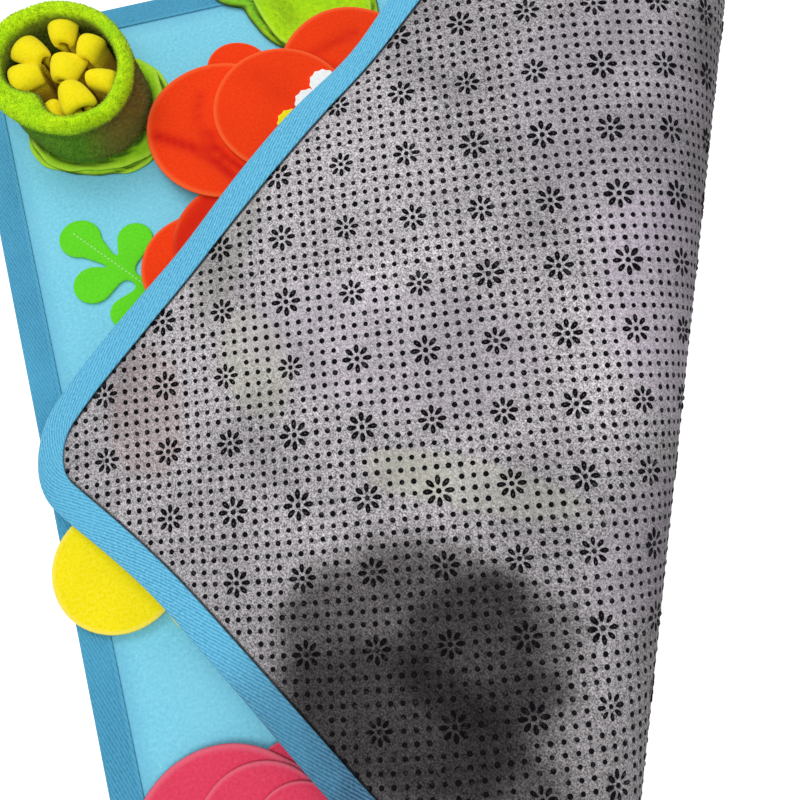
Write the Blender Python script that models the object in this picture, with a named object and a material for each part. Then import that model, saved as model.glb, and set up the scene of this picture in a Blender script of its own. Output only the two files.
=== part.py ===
"""A snuffle mat lying with one corner folded over, built as the sewn pieces of the real thing.

The mat is a square of two cloths, a dotted backing felt under a brushed panel, with a folded tape
bound round the edge. Its lower right corner is turned up and laid over to the left edge. On the panel
are sewn a plush cup filled with fleece loops, a green leaf, a big red flower, a clover sprig, a yellow
flower and a rosette.

Sizes are in millimetres and become metres when a mesh is made. The mat's own frame has its origin at
the top left corner: x runs right along the top edge and y runs up, so the mat lies at negative y.
"""
import math

import bmesh
import bpy
import numpy as np
from mathutils import Matrix

MM = 0.001

# ---- the mat -------------------------------------------------------------------------------------
MAT_SIDE = 550.0
CORNER_RADIUS = 34.0
CORNER_STEPS = 6
GAP = 0.4                      # between pieces that are sewn face to face

TAPE = 0.8                     # thickness of the binding tape
TAPE_WIDTH = 14.5              # how far the binding reaches over each face
FELT = 2.0
FELT_AT_EDGE = 1.0
PANEL = 1.5
PANEL_AT_EDGE = 1.0
MAT_THICKNESS = 2 * TAPE + 3 * GAP + FELT_AT_EDGE + PANEL_AT_EDGE
STEP_START = TAPE_WIDTH + 0.5  # where the cloths begin to spread beside the binding
STEP_END = TAPE_WIDTH + 1.5
PANEL_TOP = FELT + GAP + PANEL

# ---- the fold ------------------------------------------------------------------------------------
# The bend is conical: its straight lines all meet at a tip past the bottom edge, so it is tight at
# the bottom edge and wide at the top one. Bend arcs are measured at the cone's named radius.
FOLD_ANGLE = 66.4              # of the fold line, from the top edge
FOLD_OFFSET = 356.0            # of the fold line, from the top left corner
CONE_RADIUS = 569.0            # from the tip to the arc where the bend is measured
CONE_FOOT = -200.0             # that arc's place along the fold line
FACET_TURN = math.radians(9.8) # most that the cloth turns between two straight lines
FACET_WIDTH = 110.0            # and most that they stand apart
BEND = (
    # (arc in mm, turn per metre of arc in radians)
    (0.0, 32.2),
    (30.0, 32.6),
    (60.0, 31.0),
    (90.0, 22.3),
    (120.0, 6.7),
    (160.0, 0.2),
    (210.0, 1.2),
    (270.0, 0.9),
    (330.0, -0.9),
    (420.0, 5.0),
)
BEND_STEP = 0.5

# ---- the plush cup -------------------------------------------------------------------------------
CUP_BASE_CENTRE = (62.5, -66.0)
CUP_BASE_RADIUS = 38.5
CUP_BASE_CORNER = 2.0          # how far the base's four soft corners stand out
CUP_BASE_TURN = math.radians(27.0)
CUP_BASE_LAYER = 1.5
CUP_FOOT_CENTRE = (59.5, -64.3)
CUP_RIM_CENTRE = (54.0, -62.0)
CUP_FOOT_Z = PANEL_TOP + GAP + 2 * (CUP_BASE_LAYER + GAP)
CUP_TOP_Z = 45.0               # of the rim, halfway between its high and low sides
CUP_TILT = 3.0                 # how far the rim's high side stands over that
CUP_HIGH_SIDE = math.radians(85.0)
CUP_SEGMENTS = 24
CUP_PROFILE = (
    # (radius in mm, height as a share of the wall), up the outside and down the inside
    (32.2, 0.00),
    (32.8, 0.30),
    (32.4, 0.62),
    (33.8, 0.76),
    (34.8, 0.87),
    (33.6, 0.96),
    (31.2, 1.00),
    (28.8, 0.95),
    (27.6, 0.85),
    (28.2, 0.72),
    (29.4, 0.60),
    (29.2, 0.00),
)
LOOP_BREADTH = 12.6            # of the fleece strip
LOOP_HALF_WIDTH = 5.6
LOOP_STRIP = 4.2               # thickness of the doubled strip
LOOP_ARC_STEPS = 6
LOOPS = (
    # (angle round the cup, distance from its middle, height of the top, angle the tunnel faces)
    (80.0, 20.0, 42.0, 80.0),
    (29.0, 20.0, 41.0, 29.0),
    (-22.0, 20.0, 38.5, -22.0),
    (-73.5, 20.0, 41.0, -73.5),
    (-126.0, 20.0, 34.0, -126.0),
    (182.0, 20.0, 40.0, 182.0),
    (131.0, 20.0, 41.5, 131.0),
    (0.0, 0.0, 40.0, 70.0),
)

# ---- sewn-on sheets ------------------------------------------------------------------------------
FLEECE = 1.6
LEVEL = 2.4                    # from one overlapping petal to the next
SEWN_Z = PANEL_TOP + GAP       # underside of a piece that lies on the panel
OVER_TAPE_Z = MAT_THICKNESS + GAP
TIP_STEPS = 13
ROOT_STEPS = 4

RED_CENTRE = (176.0, -122.0)
RED_LIFT = 9.0                 # how high the red petals' free ends stand
RED_SPREAD = 60.0
RED_ROOT = 6.0
RED_ROOT_AT = 13.0
RED_PETALS = (
    # (name, tip x, tip y, tip radius, level)
    ("red_petal_low_left", 95.0, -171.0, 30.0, 0),
    ("red_petal_behind", 140.0, -63.0, 17.0, 0),
    ("red_petal_right", 240.0, -110.0, 37.0, 0),
    ("red_petal_top_right", 198.0, -82.0, 39.0, 1),
    ("red_petal_low_mid", 119.0, -164.0, 36.0, 1),
    ("red_petal_low_right", 215.0, -185.0, 36.0, 1),
    ("red_petal_left", 124.5, -99.5, 40.0, 2),
    ("red_petal_bottom", 150.0, -205.0, 34.0, 2),
    ("red_petal_inner_right", 216.0, -136.0, 26.0, 2),
    ("red_petal_inner", 155.0, -98.0, 38.0, 3),
)

TAB_CENTRE = (181.0, -117.0)
TAB = 1.3
TAB_LEVEL = 1.9
TAB_TIP = 8.0
TAB_ROOT = 2.5
TAB_ROOT_AT = 6.8
TABS = (
    # (name, angle, tip distance, level)
    ("white_tab_1", 88.0, 31.0, 0),
    ("white_tab_2", 118.0, 23.0, 1),
    ("yellow_tab_1", 153.0, 25.0, 0),
    ("white_tab_3", 205.0, 26.0, 1),
    ("yellow_tab_2", 250.0, 26.0, 0),
    ("white_tab_4", 298.0, 26.0, 1),
    ("yellow_tab_3", 345.0, 26.0, 0),
    ("white_tab_5", 38.0, 27.0, 1),
)

LEAF_LAYER = 1.4
LEAF_LOWER = (
    # (x, y), anticlockwise from the pointed lobe's tip
    (137.0, -5.0), (137.8, -9.8), (141.0, -14.5), (145.6, -17.7), (152.6, -20.6),
    (153.0, -26.0), (154.9, -31.7), (158.2, -40.7), (162.2, -47.2), (170.0, -55.0),
    (181.0, -62.0), (194.0, -65.0), (207.0, -63.0), (218.0, -55.0), (225.0, -43.0),
    (226.0, -29.0), (220.0, -16.0), (209.0, -6.5), (195.0, -1.8), (178.0, -1.0),
    (160.0, -1.0), (147.0, -1.0), (140.0, -2.0),
)
LEAF_UPPER = (
    # (x, y), anticlockwise from its narrow end
    (159.0, -14.0), (158.6, -19.8), (160.2, -30.0), (163.2, -41.5), (167.4, -51.5),
    (178.0, -58.5), (192.0, -62.0), (206.0, -60.0), (216.5, -51.5), (222.0, -39.0),
    (221.0, -26.0), (213.0, -14.0), (200.0, -6.5), (185.0, -4.0), (170.0, -6.0),
)

YELLOW_CENTRE = (58.6, -281.0)
YELLOW_LIFT = 1.0
YELLOW_LEVEL = 1.9
YELLOW_THICKNESS = 1.5
YELLOW_PETALS = (
    # (name, tip x, tip y, tip radius, level)
    ("yellow_petal_left", 24.7, -303.6, 29.6, 1),
    ("yellow_petal_low", 69.5, -320.5, 29.6, 0),
    ("yellow_petal_right", 99.0, -283.0, 27.0, 1),
    ("yellow_petal_top", 73.0, -243.0, 27.0, 2),
    ("yellow_petal_top_left", 38.0, -257.0, 21.0, 0),
)

ROSETTE_CENTRE = (62.0, -436.0)
ROSETTE_CROWN = 7.0            # how high the rosette's middle stands
ROSETTE_DROOP = 8.2            # how far the sheets fall from it to their edges
ROSETTE_REACH = 60.0
ROSETTE_PETALS = (
    # (name, tip x, tip y, tip radius, root x, root y, root radius, level)
    ("rosette_petal_behind", 73.0, -408.0, 13.0, 66.0, -440.0, 20.0, 0),
    ("rosette_petal_outer", 45.0, -431.5, 42.5, 60.0, -436.0, 36.0, 1),
    ("rosette_petal_middle", 61.0, -428.5, 28.5, 68.0, -442.0, 26.0, 2),
    ("rosette_petal_inner", 76.0, -432.0, 20.0, 72.0, -438.0, 16.0, 3),
)

SPRIG_LAYER = 1.4
SPRIG_TIP = (39.0, -135.5)
SPRIG_FOOT = (76.0, -184.0)
SPRIG_STEM = 1.9               # half the stem's width
SPRIG_LEAVES = (
    # (place along the stem in mm, side: 1 is right of it going down, leaf centre x, y, radius)
    (28.0, -1, 65.5, -143.0, 9.0),
    (28.0, 1, 40.5, -162.5, 10.0),
    (46.0, -1, 79.0, -161.0, 8.5),
    (46.0, 1, 53.5, -181.5, 8.5),
)
SPRIG_END_RADIUS = 10.5

# ---- colours -------------------------------------------------------------------------------------
# name: (red, green, blue, roughness)
CLOTHS = {
    "dotted_felt": (0.36, 0.35, 0.38, 0.95),
    "panel_cloth": (0.22, 0.60, 0.77, 0.95),
    "binding_tape": (0.11, 0.42, 0.66, 0.85),
    "green_plush": (0.33, 0.62, 0.02, 0.97),
    "green_felt": (0.15, 0.65, 0.04, 0.95),
    "yellow_fleece": (0.90, 0.75, 0.02, 0.95),
    "red_fleece": (0.85, 0.07, 0.01, 0.95),
    "white_fleece": (0.90, 0.90, 0.88, 0.95),
    "pink_fleece": (0.74, 0.06, 0.13, 0.95),
}


def clear_scene():
    for item in list(bpy.data.objects):
        bpy.data.objects.remove(item)


def cloth(name):
    """The cloth's material, made once."""
    material = bpy.data.materials.get(name)
    if material:
        return material
    material = bpy.data.materials.new(name)
    material.use_nodes = True
    shader = material.node_tree.nodes["Principled BSDF"]
    red, green, blue, roughness = CLOTHS[name]
    shader.inputs["Base Color"].default_value = (red, green, blue, 1.0)
    shader.inputs["Roughness"].default_value = roughness
    shader.inputs["Metallic"].default_value = 0.0
    return material


def make_object(name, points, faces, material, sharp=40.0):
    """A named closed object from points in millimetres and faces that look outwards."""
    mesh = bpy.data.meshes.new(name)
    mesh.from_pydata([tuple(MM * value for value in point) for point in points], [], faces)
    mesh.materials.append(cloth(material))
    mesh.shade_smooth()
    mesh.set_sharp_from_angle(angle=math.radians(sharp))
    thing = bpy.data.objects.new(name, mesh)
    bpy.context.collection.objects.link(thing)
    return thing


# ---- the folded mat ------------------------------------------------------------------------------
class Fold:
    """Carries a point of the flat mat, and its height in the mat's thickness, to its folded place."""

    def __init__(self):
        turn = math.radians(FOLD_ANGLE)
        self.along = np.array((math.cos(turn), math.sin(turn)))
        self.across = np.array((math.sin(turn), -math.cos(turn)))
        self.tip = CONE_FOOT - CONE_RADIUS
        arcs, turns = zip(*BEND)
        self.arc = np.arange(0.0, arcs[-1] + BEND_STEP, BEND_STEP)
        self.turn_rate = np.interp(self.arc, arcs, turns) / 1000.0
        self.ruling_angles, self.rulings, self.normals = self.facet()

    def sweep(self):
        """The ruling's and the surface's unit directions at each step of the arc."""
        frame = np.array(((0.0, 1.0, 0.0), (1.0, 0.0, 0.0), (0.0, 0.0, 1.0)))
        frames = [frame]
        step = BEND_STEP / CONE_RADIUS
        for rate in (self.turn_rate[1:] + self.turn_rate[:-1]) / 2.0:
            bend = rate * CONE_RADIUS
            spin = step * np.array(((0.0, 1.0, 0.0), (-1.0, 0.0, bend), (0.0, -bend, 0.0)))
            frame = frame + spin @ frame + spin @ spin @ frame / 2.0
            frame = frame / np.linalg.norm(frame, axis=1)[:, None]
            frames.append(frame)
        return np.array(frames)

    def facet(self):
        """The straight lines that facet the bend: angles about the tip, rulings and normals."""
        frames = self.sweep()
        turned = np.concatenate(((0.0,), np.cumsum(self.turn_rate[1:] * BEND_STEP)))
        reached = np.abs(turned) / FACET_TURN + self.arc / FACET_WIDTH
        count = math.ceil(reached[-1])
        arcs = np.interp(np.linspace(0.0, reached[-1], count + 1), reached, self.arc)
        steps = np.round(arcs / BEND_STEP).astype(int)
        return self.arc[steps] / CONE_RADIUS, frames[steps, 0], frames[steps, 2]

    def place(self, x, y, height):
        """The folded place of flat point x, y at a height over the mat's underside."""
        across = self.across @ (x, y) - FOLD_OFFSET
        along = self.along @ (x, y) - self.tip
        if across <= 0.0:
            return (x, y, height)
        angle = math.atan2(across, along)
        after = min(max(int(np.searchsorted(self.ruling_angles, angle)), 1), len(self.ruling_angles) - 1)
        low, high = self.ruling_angles[after - 1], self.ruling_angles[after]
        reach = math.hypot(across, along) / math.sin(high - low)
        first = reach * math.sin(high - angle)
        second = reach * math.sin(angle - low)
        share = second / (first + second)
        spot = first * self.rulings[after - 1] + second * self.rulings[after]
        spot = spot + height * ((1.0 - share) * self.normals[after - 1] + share * self.normals[after])
        flat = self.across * (spot[0] + FOLD_OFFSET) + self.along * (spot[1] + self.tip)
        return (flat[0], flat[1], spot[2])


def rounded_square(inset):
    """The mat's outline moved in by an inset, anticlockwise from its lower right corner."""
    radius = CORNER_RADIUS - inset
    near, far = CORNER_RADIUS, MAT_SIDE - CORNER_RADIUS
    points = []
    for corner_x, corner_y, start in ((far, -far, 270), (far, -near, 0), (near, -near, 90), (near, -far, 180)):
        for step in range(CORNER_STEPS + 1):
            angle = math.radians(start + 90.0 * step / CORNER_STEPS)
            points.append((corner_x + radius * math.cos(angle), corner_y + radius * math.sin(angle)))
    return points


def flat_pattern(insets, fold, filled):
    """The flat mat in rings, cut along the fold's straight lines. A vertex's z tells its ring."""
    pattern = bmesh.new()
    rings = [
        [pattern.verts.new((x, y, float(index))) for x, y in rounded_square(inset)]
        for index, inset in enumerate(insets)
    ]
    for outer, inner in zip(rings, rings[1:]):
        for index in range(len(outer)):
            after = (index + 1) % len(outer)
            pattern.faces.new((outer[index], outer[after], inner[after], inner[index]))
    if filled:
        pattern.faces.new(rings[-1])
    tip = fold.across * FOLD_OFFSET + fold.along * fold.tip
    for angle in fold.ruling_angles[:-1]:
        line = fold.along * math.cos(angle) + fold.across * math.sin(angle)
        bmesh.ops.bisect_plane(
            pattern,
            geom=pattern.verts[:] + pattern.edges[:] + pattern.faces[:],
            dist=0.2,
            plane_co=(tip[0], tip[1], 0.0),
            plane_no=(-line[1], line[0], 0.0),
        )
    bmesh.ops.triangulate(pattern, faces=pattern.faces[:])
    pattern.verts.index_update()
    spots = [tuple(vertex.co) for vertex in pattern.verts]
    triangles = [tuple(vertex.index for vertex in face.verts) for face in pattern.faces]
    pattern.free()
    return spots, triangles


def open_edges(triangles):
    """The directed edges that only one triangle uses."""
    used = {(face[i], face[(i + 1) % 3]) for face in triangles for i in range(3)}
    return [edge for edge in used if (edge[1], edge[0]) not in used]


def walls(edges, low, high, split_back=False):
    """Wall triangles that look outwards, from each edge's low points to its high ones.

    Two walls that face each other have their edges run opposite ways. Splitting one of them back keeps
    their diagonals side by side where the bend twists them.
    """
    faces = []
    for first, second in sorted(edges):
        if split_back:
            faces.append((low[first], low[second], high[first]))
            faces.append((low[second], high[second], high[first]))
        else:
            faces.append((low[first], low[second], high[second]))
            faces.append((low[first], high[second], high[first]))
    return faces


def reverse(faces):
    return [tuple(reversed(face)) for face in faces]


def tidy_points(points, faces):
    """Only the points that faces use."""
    used = sorted({index for face in faces for index in face})
    place = {old: new for new, old in enumerate(used)}
    return [points[index] for index in used], [tuple(place[index] for index in face) for face in faces]


def mat_cloth(name, material, fold, low, high):
    """One of the mat's two cloths. low and high give its faces' heights at each of its three rings."""
    insets = (TAPE + GAP, STEP_START, STEP_END)
    spots, triangles = flat_pattern(insets, fold, True)
    ring = range(len(insets))
    points = [fold.place(x, y, np.interp(part, ring, low)) for x, y, part in spots]
    points += [fold.place(x, y, np.interp(part, ring, high)) for x, y, part in spots]
    count = len(spots)
    lower = list(range(count))
    upper = [index + count for index in range(count)]
    faces = reverse(triangles)
    faces += [tuple(upper[index] for index in face) for face in triangles]
    faces += walls(open_edges(triangles), lower, upper)
    return make_object(name, points, faces, material)


def binding(fold):
    """The tape: folded once round the edge, one closed piece with a slot that holds both cloths."""
    spots, triangles = flat_pattern((0.0, TAPE, TAPE_WIDTH), fold, False)
    count = len(spots)
    levels = (
        # the height at the outermost ring, then at the others
        (TAPE, 0.0),
        (TAPE, TAPE),
        (MAT_THICKNESS - TAPE, MAT_THICKNESS - TAPE),
        (MAT_THICKNESS - TAPE, MAT_THICKNESS),
    )
    points = []
    for at_edge, inside in levels:
        points += [fold.place(x, y, np.interp(part, (0, 1), (at_edge, inside))) for x, y, part in spots]
    under, slot_floor, slot_roof, top = (
        [index + count * level for index in range(count)] for level in range(len(levels))
    )
    reach = [sum(spots[index][2] for index in face) / 3.0 for face in triangles]
    arms = [face for face, part in zip(triangles, reach) if part > 1.0]
    fold_part = [face for face, part in zip(triangles, reach) if part < 1.0]
    rim = [edge for edge in open_edges(triangles) if spots[edge[0]][2] < 0.5]
    ends = [edge for edge in open_edges(triangles) if spots[edge[0]][2] > 1.5]
    slot = [edge for edge in open_edges(fold_part) if spots[edge[0]][2] > 0.5]
    faces = [tuple(under[index] for index in face) for face in reverse(triangles)]
    faces += [tuple(top[index] for index in face) for face in triangles]
    faces += [tuple(slot_floor[index] for index in face) for face in arms]
    faces += [tuple(slot_roof[index] for index in face) for face in reverse(arms)]
    faces += walls(rim, under, top)
    faces += walls(ends, under, slot_floor) + walls(ends, slot_roof, top)
    faces += walls(slot, slot_floor, slot_roof, split_back=True)
    points, faces = tidy_points(points, faces)
    return make_object("binding", points, faces, "binding_tape")


# ---- flat and dished sheets ----------------------------------------------------------------------
def two_circles(first, second, first_steps=TIP_STEPS, second_steps=ROOT_STEPS):
    """The outline of a taut band round two circles given as x, y, radius: a petal or a leaf."""
    across = (second[0] - first[0], second[1] - first[1])
    distance = math.hypot(*across)
    facing = math.atan2(across[1], across[0])
    side = math.acos((first[2] - second[2]) / distance)
    points = []
    for circle, start, sweep, steps in (
        (first, facing + side, 2.0 * (math.pi - side), first_steps),
        (second, facing - side, 2.0 * side, second_steps),
    ):
        for step in range(steps + 1):
            angle = start + sweep * step / steps
            points.append((circle[0] + circle[2] * math.cos(angle), circle[1] + circle[2] * math.sin(angle)))
    return points


def dished_sheet(name, outline, middle, thickness, material, rise):
    """A sheet with an anticlockwise outline. rise gives the height of its underside at x, y."""
    inner = [((x + middle[0]) / 2.0, (y + middle[1]) / 2.0) for x, y in outline]
    flat = outline + inner + [middle]
    count = len(outline)
    centre = 2 * count
    triangles = []
    for index in range(count):
        after = (index + 1) % count
        triangles.append((index, after, count + after))
        triangles.append((index, count + after, count + index))
        triangles.append((count + index, count + after, centre))
    lower = list(range(len(flat)))
    upper = [index + len(flat) for index in lower]
    points = [(x, y, rise(x, y)) for x, y in flat]
    points += [(x, y, rise(x, y) + thickness) for x, y in flat]
    faces = reverse(triangles) + [tuple(upper[index] for index in face) for face in triangles]
    faces += walls([(index, (index + 1) % count) for index in range(count)], lower, upper)
    return make_object(name, points, faces, material)


def cut_sheet(name, outline, thickness, material, height):
    """A flat sheet of any outline, anticlockwise."""
    pattern = bmesh.new()
    face = pattern.faces.new([pattern.verts.new((x, y, 0.0)) for x, y in outline])
    face.normal_update()
    bmesh.ops.triangulate(pattern, faces=[face])
    pattern.verts.index_update()
    triangles = [tuple(vertex.index for vertex in part.verts) for part in pattern.faces]
    pattern.free()
    count = len(outline)
    lower = list(range(count))
    upper = [index + count for index in lower]
    points = [(x, y, height) for x, y in outline] + [(x, y, height + thickness) for x, y in outline]
    faces = reverse(triangles) + [tuple(upper[index] for index in part) for part in triangles]
    faces += walls([(index, (index + 1) % count) for index in range(count)], lower, upper)
    return make_object(name, points, faces, material)


def toward(centre, x, y, distance, radius):
    """A root circle on the line from a flower's centre to a petal's tip."""
    reach = math.hypot(x - centre[0], y - centre[1])
    share = distance / reach
    return (centre[0] + share * (x - centre[0]), centre[1] + share * (y - centre[1]), radius)


def red_flower():
    def lift(x, y):
        square = (x - RED_CENTRE[0]) ** 2 + (y - RED_CENTRE[1]) ** 2
        return RED_LIFT * square / (square + RED_SPREAD ** 2)

    for name, x, y, radius, level in RED_PETALS:
        root = toward(RED_CENTRE, x, y, RED_ROOT_AT, RED_ROOT)
        if math.hypot(x - root[0], y - root[1]) < radius:
            reach = math.hypot(x - RED_CENTRE[0], y - RED_CENTRE[1])
            root = (RED_CENTRE[0], RED_CENTRE[1], max(RED_ROOT, radius - 0.9 * reach))
        dished_sheet(
            name, two_circles((x, y, radius), root), (x, y), FLEECE, "red_fleece",
            lambda px, py, level=level: SEWN_Z + LEVEL * level + lift(px, py),
        )
    top = SEWN_Z + LEVEL * 4
    for name, angle, distance, level in TABS:
        heading = math.radians(angle)
        tip = (TAB_CENTRE[0] + distance * math.cos(heading), TAB_CENTRE[1] + distance * math.sin(heading))
        root = toward(TAB_CENTRE, tip[0], tip[1], TAB_ROOT_AT, TAB_ROOT)
        dished_sheet(
            name, two_circles((tip[0], tip[1], TAB_TIP), root, 8, 3), tip, TAB, name.split("_")[0] + "_fleece",
            lambda px, py, level=level: top + TAB_LEVEL * level + lift(px, py),
        )


def yellow_flower():
    def lift(x, y):
        square = (x - YELLOW_CENTRE[0]) ** 2 + (y - YELLOW_CENTRE[1]) ** 2
        return YELLOW_LIFT * square / (square + RED_SPREAD ** 2)

    for name, x, y, radius, level in YELLOW_PETALS:
        root = toward(YELLOW_CENTRE, x, y, 9.0, 8.0)
        dished_sheet(
            name, two_circles((x, y, radius), root), (x, y), YELLOW_THICKNESS, "yellow_fleece",
            lambda px, py, level=level: OVER_TAPE_Z + YELLOW_LEVEL * level + lift(px, py),
        )


def rosette():
    def crown(x, y):
        distance = math.hypot(x - ROSETTE_CENTRE[0], y - ROSETTE_CENTRE[1])
        return ROSETTE_CROWN - ROSETTE_DROOP * (distance / ROSETTE_REACH) ** 2

    for name, x, y, radius, root_x, root_y, root_radius, level in ROSETTE_PETALS:
        dished_sheet(
            name, two_circles((x, y, radius), (root_x, root_y, root_radius), 14, 6), (x, y), FLEECE,
            "pink_fleece",
            lambda px, py, level=level: SEWN_Z + LEVEL * level + crown(px, py),
        )


def leaf():
    """Two layers: the lower one has a pointed lobe, the upper one is a little smaller."""
    cut_sheet("leaf_lower", list(LEAF_LOWER), LEAF_LAYER, "green_plush", OVER_TAPE_Z)
    cut_sheet("leaf_upper", list(LEAF_UPPER), LEAF_LAYER, "green_plush", OVER_TAPE_Z + LEAF_LAYER + GAP)


def sprig():
    """One piece of felt: a stem, an end leaf and two pairs of side leaves on narrow necks."""
    along = (SPRIG_FOOT[0] - SPRIG_TIP[0], SPRIG_FOOT[1] - SPRIG_TIP[1])
    length = math.hypot(*along)
    along = (along[0] / length, along[1] / length)
    right = (along[1], -along[0])

    def on_stem(distance, side):
        return (
            SPRIG_TIP[0] + along[0] * distance + right[0] * side * SPRIG_STEM,
            SPRIG_TIP[1] + along[1] * distance + right[1] * side * SPRIG_STEM,
        )

    def arc(x, y, radius, start, end, steps):
        angles = (start + (end - start) * step / steps for step in range(steps + 1))
        return [(x + radius * math.cos(angle), y + radius * math.sin(angle)) for angle in angles]

    def side_leaf(place, side, x, y, radius):
        """From the neck's upper end round the leaf to its lower end, for a leaf on the given side."""
        neck = on_stem(place, side)
        back = math.atan2(neck[1] - y, neck[0] - x)
        turn = math.radians(52.0)
        turn = side * turn
        leaf_arc = arc(x, y, radius, back + turn, back - turn + side * 2.0 * math.pi, 9)
        return [on_stem(place - 3.0, side)] + leaf_arc + [on_stem(place + 3.0, side)]

    facing = math.atan2(along[1], along[0])
    opening = math.radians(28.0)
    end_leaf = arc(SPRIG_TIP[0], SPRIG_TIP[1], SPRIG_END_RADIUS, facing + opening,
                   facing + 2.0 * math.pi - opening, 12)
    one_side = []
    other_side = []
    for place, side, x, y, radius in SPRIG_LEAVES:
        if side < 0:
            one_side = side_leaf(place, side, x, y, radius)[::-1] + one_side
        else:
            other_side = other_side + side_leaf(place, side, x, y, radius)
    foot = [on_stem(length, 1), on_stem(length, -1)]
    outline = end_leaf + other_side + foot + one_side
    area = sum(a[0] * b[1] - b[0] * a[1] for a, b in zip(outline, outline[1:] + outline[:1]))
    if area < 0.0:
        outline.reverse()
    cut_sheet("sprig", outline, SPRIG_LAYER, "green_felt", SEWN_Z)


# ---- the plush cup -------------------------------------------------------------------------------
def cup_centre(height):
    share = (height - CUP_FOOT_Z) / (CUP_TOP_Z - CUP_FOOT_Z)
    return tuple(foot + share * (rim - foot) for foot, rim in zip(CUP_FOOT_CENTRE, CUP_RIM_CENTRE))


def cup_base():
    for name, height, scale, turn in (
        ("cup_base_lower", SEWN_Z, 1.0, 0.0),
        ("cup_base_upper", SEWN_Z + CUP_BASE_LAYER + GAP, 0.955, math.radians(9.0)),
    ):
        outline = []
        for step in range(32):
            angle = 2.0 * math.pi * step / 32
            radius = CUP_BASE_RADIUS + CUP_BASE_CORNER * math.cos(4.0 * (angle - CUP_BASE_TURN - turn))
            outline.append((
                CUP_BASE_CENTRE[0] + scale * radius * math.cos(angle),
                CUP_BASE_CENTRE[1] + scale * radius * math.sin(angle),
            ))
        cut_sheet(name, outline, CUP_BASE_LAYER, "green_plush", height)


def cup_wall():
    """A leaning tube with a thick rolled rim that slopes, open at both ends."""
    points = []
    for radius, share in CUP_PROFILE:
        for step in range(CUP_SEGMENTS):
            angle = 2.0 * math.pi * step / CUP_SEGMENTS
            top = CUP_TOP_Z + CUP_TILT * math.cos(angle - CUP_HIGH_SIDE)
            height = CUP_FOOT_Z + share * (top - CUP_FOOT_Z)
            x, y = cup_centre(height)
            points.append((x + radius * math.cos(angle), y + radius * math.sin(angle), height))
    faces = []
    rows = len(CUP_PROFILE)
    for row in range(rows):
        above = (row + 1) % rows
        for step in range(CUP_SEGMENTS):
            after = (step + 1) % CUP_SEGMENTS
            low, low_after = row * CUP_SEGMENTS + step, row * CUP_SEGMENTS + after
            high, high_after = above * CUP_SEGMENTS + step, above * CUP_SEGMENTS + after
            faces.append((low, low_after, high_after))
            faces.append((low, high_after, high))
    make_object("cup_wall", points, faces, "green_plush", 60.0)


def fleece_loop(name, angle, distance, top, heading):
    """A strip folded into a standing hairpin, its legs on the cup's base and its tunnel along heading."""
    foot = CUP_FOOT_Z
    shoulder = top - LOOP_HALF_WIDTH
    inside = LOOP_HALF_WIDTH - LOOP_STRIP
    outer = [(LOOP_HALF_WIDTH, foot)]
    inner = [(inside, foot)]
    for step in range(LOOP_ARC_STEPS + 1):
        turn = math.pi * step / LOOP_ARC_STEPS
        outer.append((LOOP_HALF_WIDTH * math.cos(turn), shoulder + LOOP_HALF_WIDTH * math.sin(turn)))
        inner.append((inside * math.cos(turn), shoulder + inside * math.sin(turn)))
    outer.append((-LOOP_HALF_WIDTH, foot))
    inner.append((-inside, foot))
    count = len(outer)
    points = []
    for end in (-LOOP_BREADTH / 2.0, LOOP_BREADTH / 2.0):
        for side, height in outer + inner:
            middle_x, middle_y = cup_centre(height)
            points.append((
                middle_x + distance * math.cos(angle) + end * math.cos(heading) - side * math.sin(heading),
                middle_y + distance * math.sin(angle) + end * math.sin(heading) + side * math.cos(heading),
                height,
            ))
    back = 2 * count
    faces = []
    for index in range(count - 1):
        after = index + 1
        faces.append((index, count + index, count + after, after))
        faces.append((back + index, back + after, back + count + after, back + count + index))
        faces.append((index, after, back + after, back + index))
        faces.append((count + index, back + count + index, back + count + after, count + after))
    faces.append((0, back, back + count, count))
    faces.append((count - 1, 2 * count - 1, back + 2 * count - 1, back + count - 1))
    make_object(name, points, faces, "yellow_fleece", 50.0)


def cup():
    cup_base()
    cup_wall()
    for index, (angle, distance, top, heading) in enumerate(LOOPS, 1):
        fleece_loop(f"cup_loop_{index}", math.radians(angle), distance, top, math.radians(heading))


def centre_on_floor():
    """Moves the whole mat so that the origin is under the middle of its box."""
    things = [item for item in bpy.data.objects if item.type == "MESH"]
    corners = np.array([vertex.co for thing in things for vertex in thing.data.vertices])
    low, high = corners.min(axis=0), corners.max(axis=0)
    move = Matrix.Translation((-(low[0] + high[0]) / 2.0, -(low[1] + high[1]) / 2.0, -low[2]))
    for thing in things:
        thing.data.transform(move)


def main():
    clear_scene()
    fold = Fold()
    felt_low = TAPE + GAP
    mat_cloth(
        "backing_felt", "dotted_felt", fold,
        (felt_low, felt_low, 0.0),
        (felt_low + FELT_AT_EDGE, felt_low + FELT_AT_EDGE, FELT),
    )
    panel_low = felt_low + FELT_AT_EDGE + GAP
    mat_cloth(
        "top_panel", "panel_cloth", fold,
        (panel_low, panel_low, FELT + GAP),
        (panel_low + PANEL_AT_EDGE, panel_low + PANEL_AT_EDGE, PANEL_TOP),
    )
    binding(fold)
    cup()
    leaf()
    red_flower()
    sprig()
    yellow_flower()
    rosette()
    centre_on_floor()


main()
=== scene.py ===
"""A snuffle mat with one corner folded over: its cloths, dots, tape, plush cup, loops and fleece flowers.

Lengths in the tables are in millimetres in the flat mat's own frame: its origin is the mat's top left
corner, x runs right along the top edge and y runs up, so the mat lies at negative y. Meshes are made in
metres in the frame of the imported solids.
"""
import math

import bmesh
import bpy
import numpy as np
from bpy.props import FloatProperty, FloatVectorProperty, IntProperty, PointerProperty
from mathutils import Matrix, Vector
from mathutils.geometry import tessellate_polygon


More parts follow.
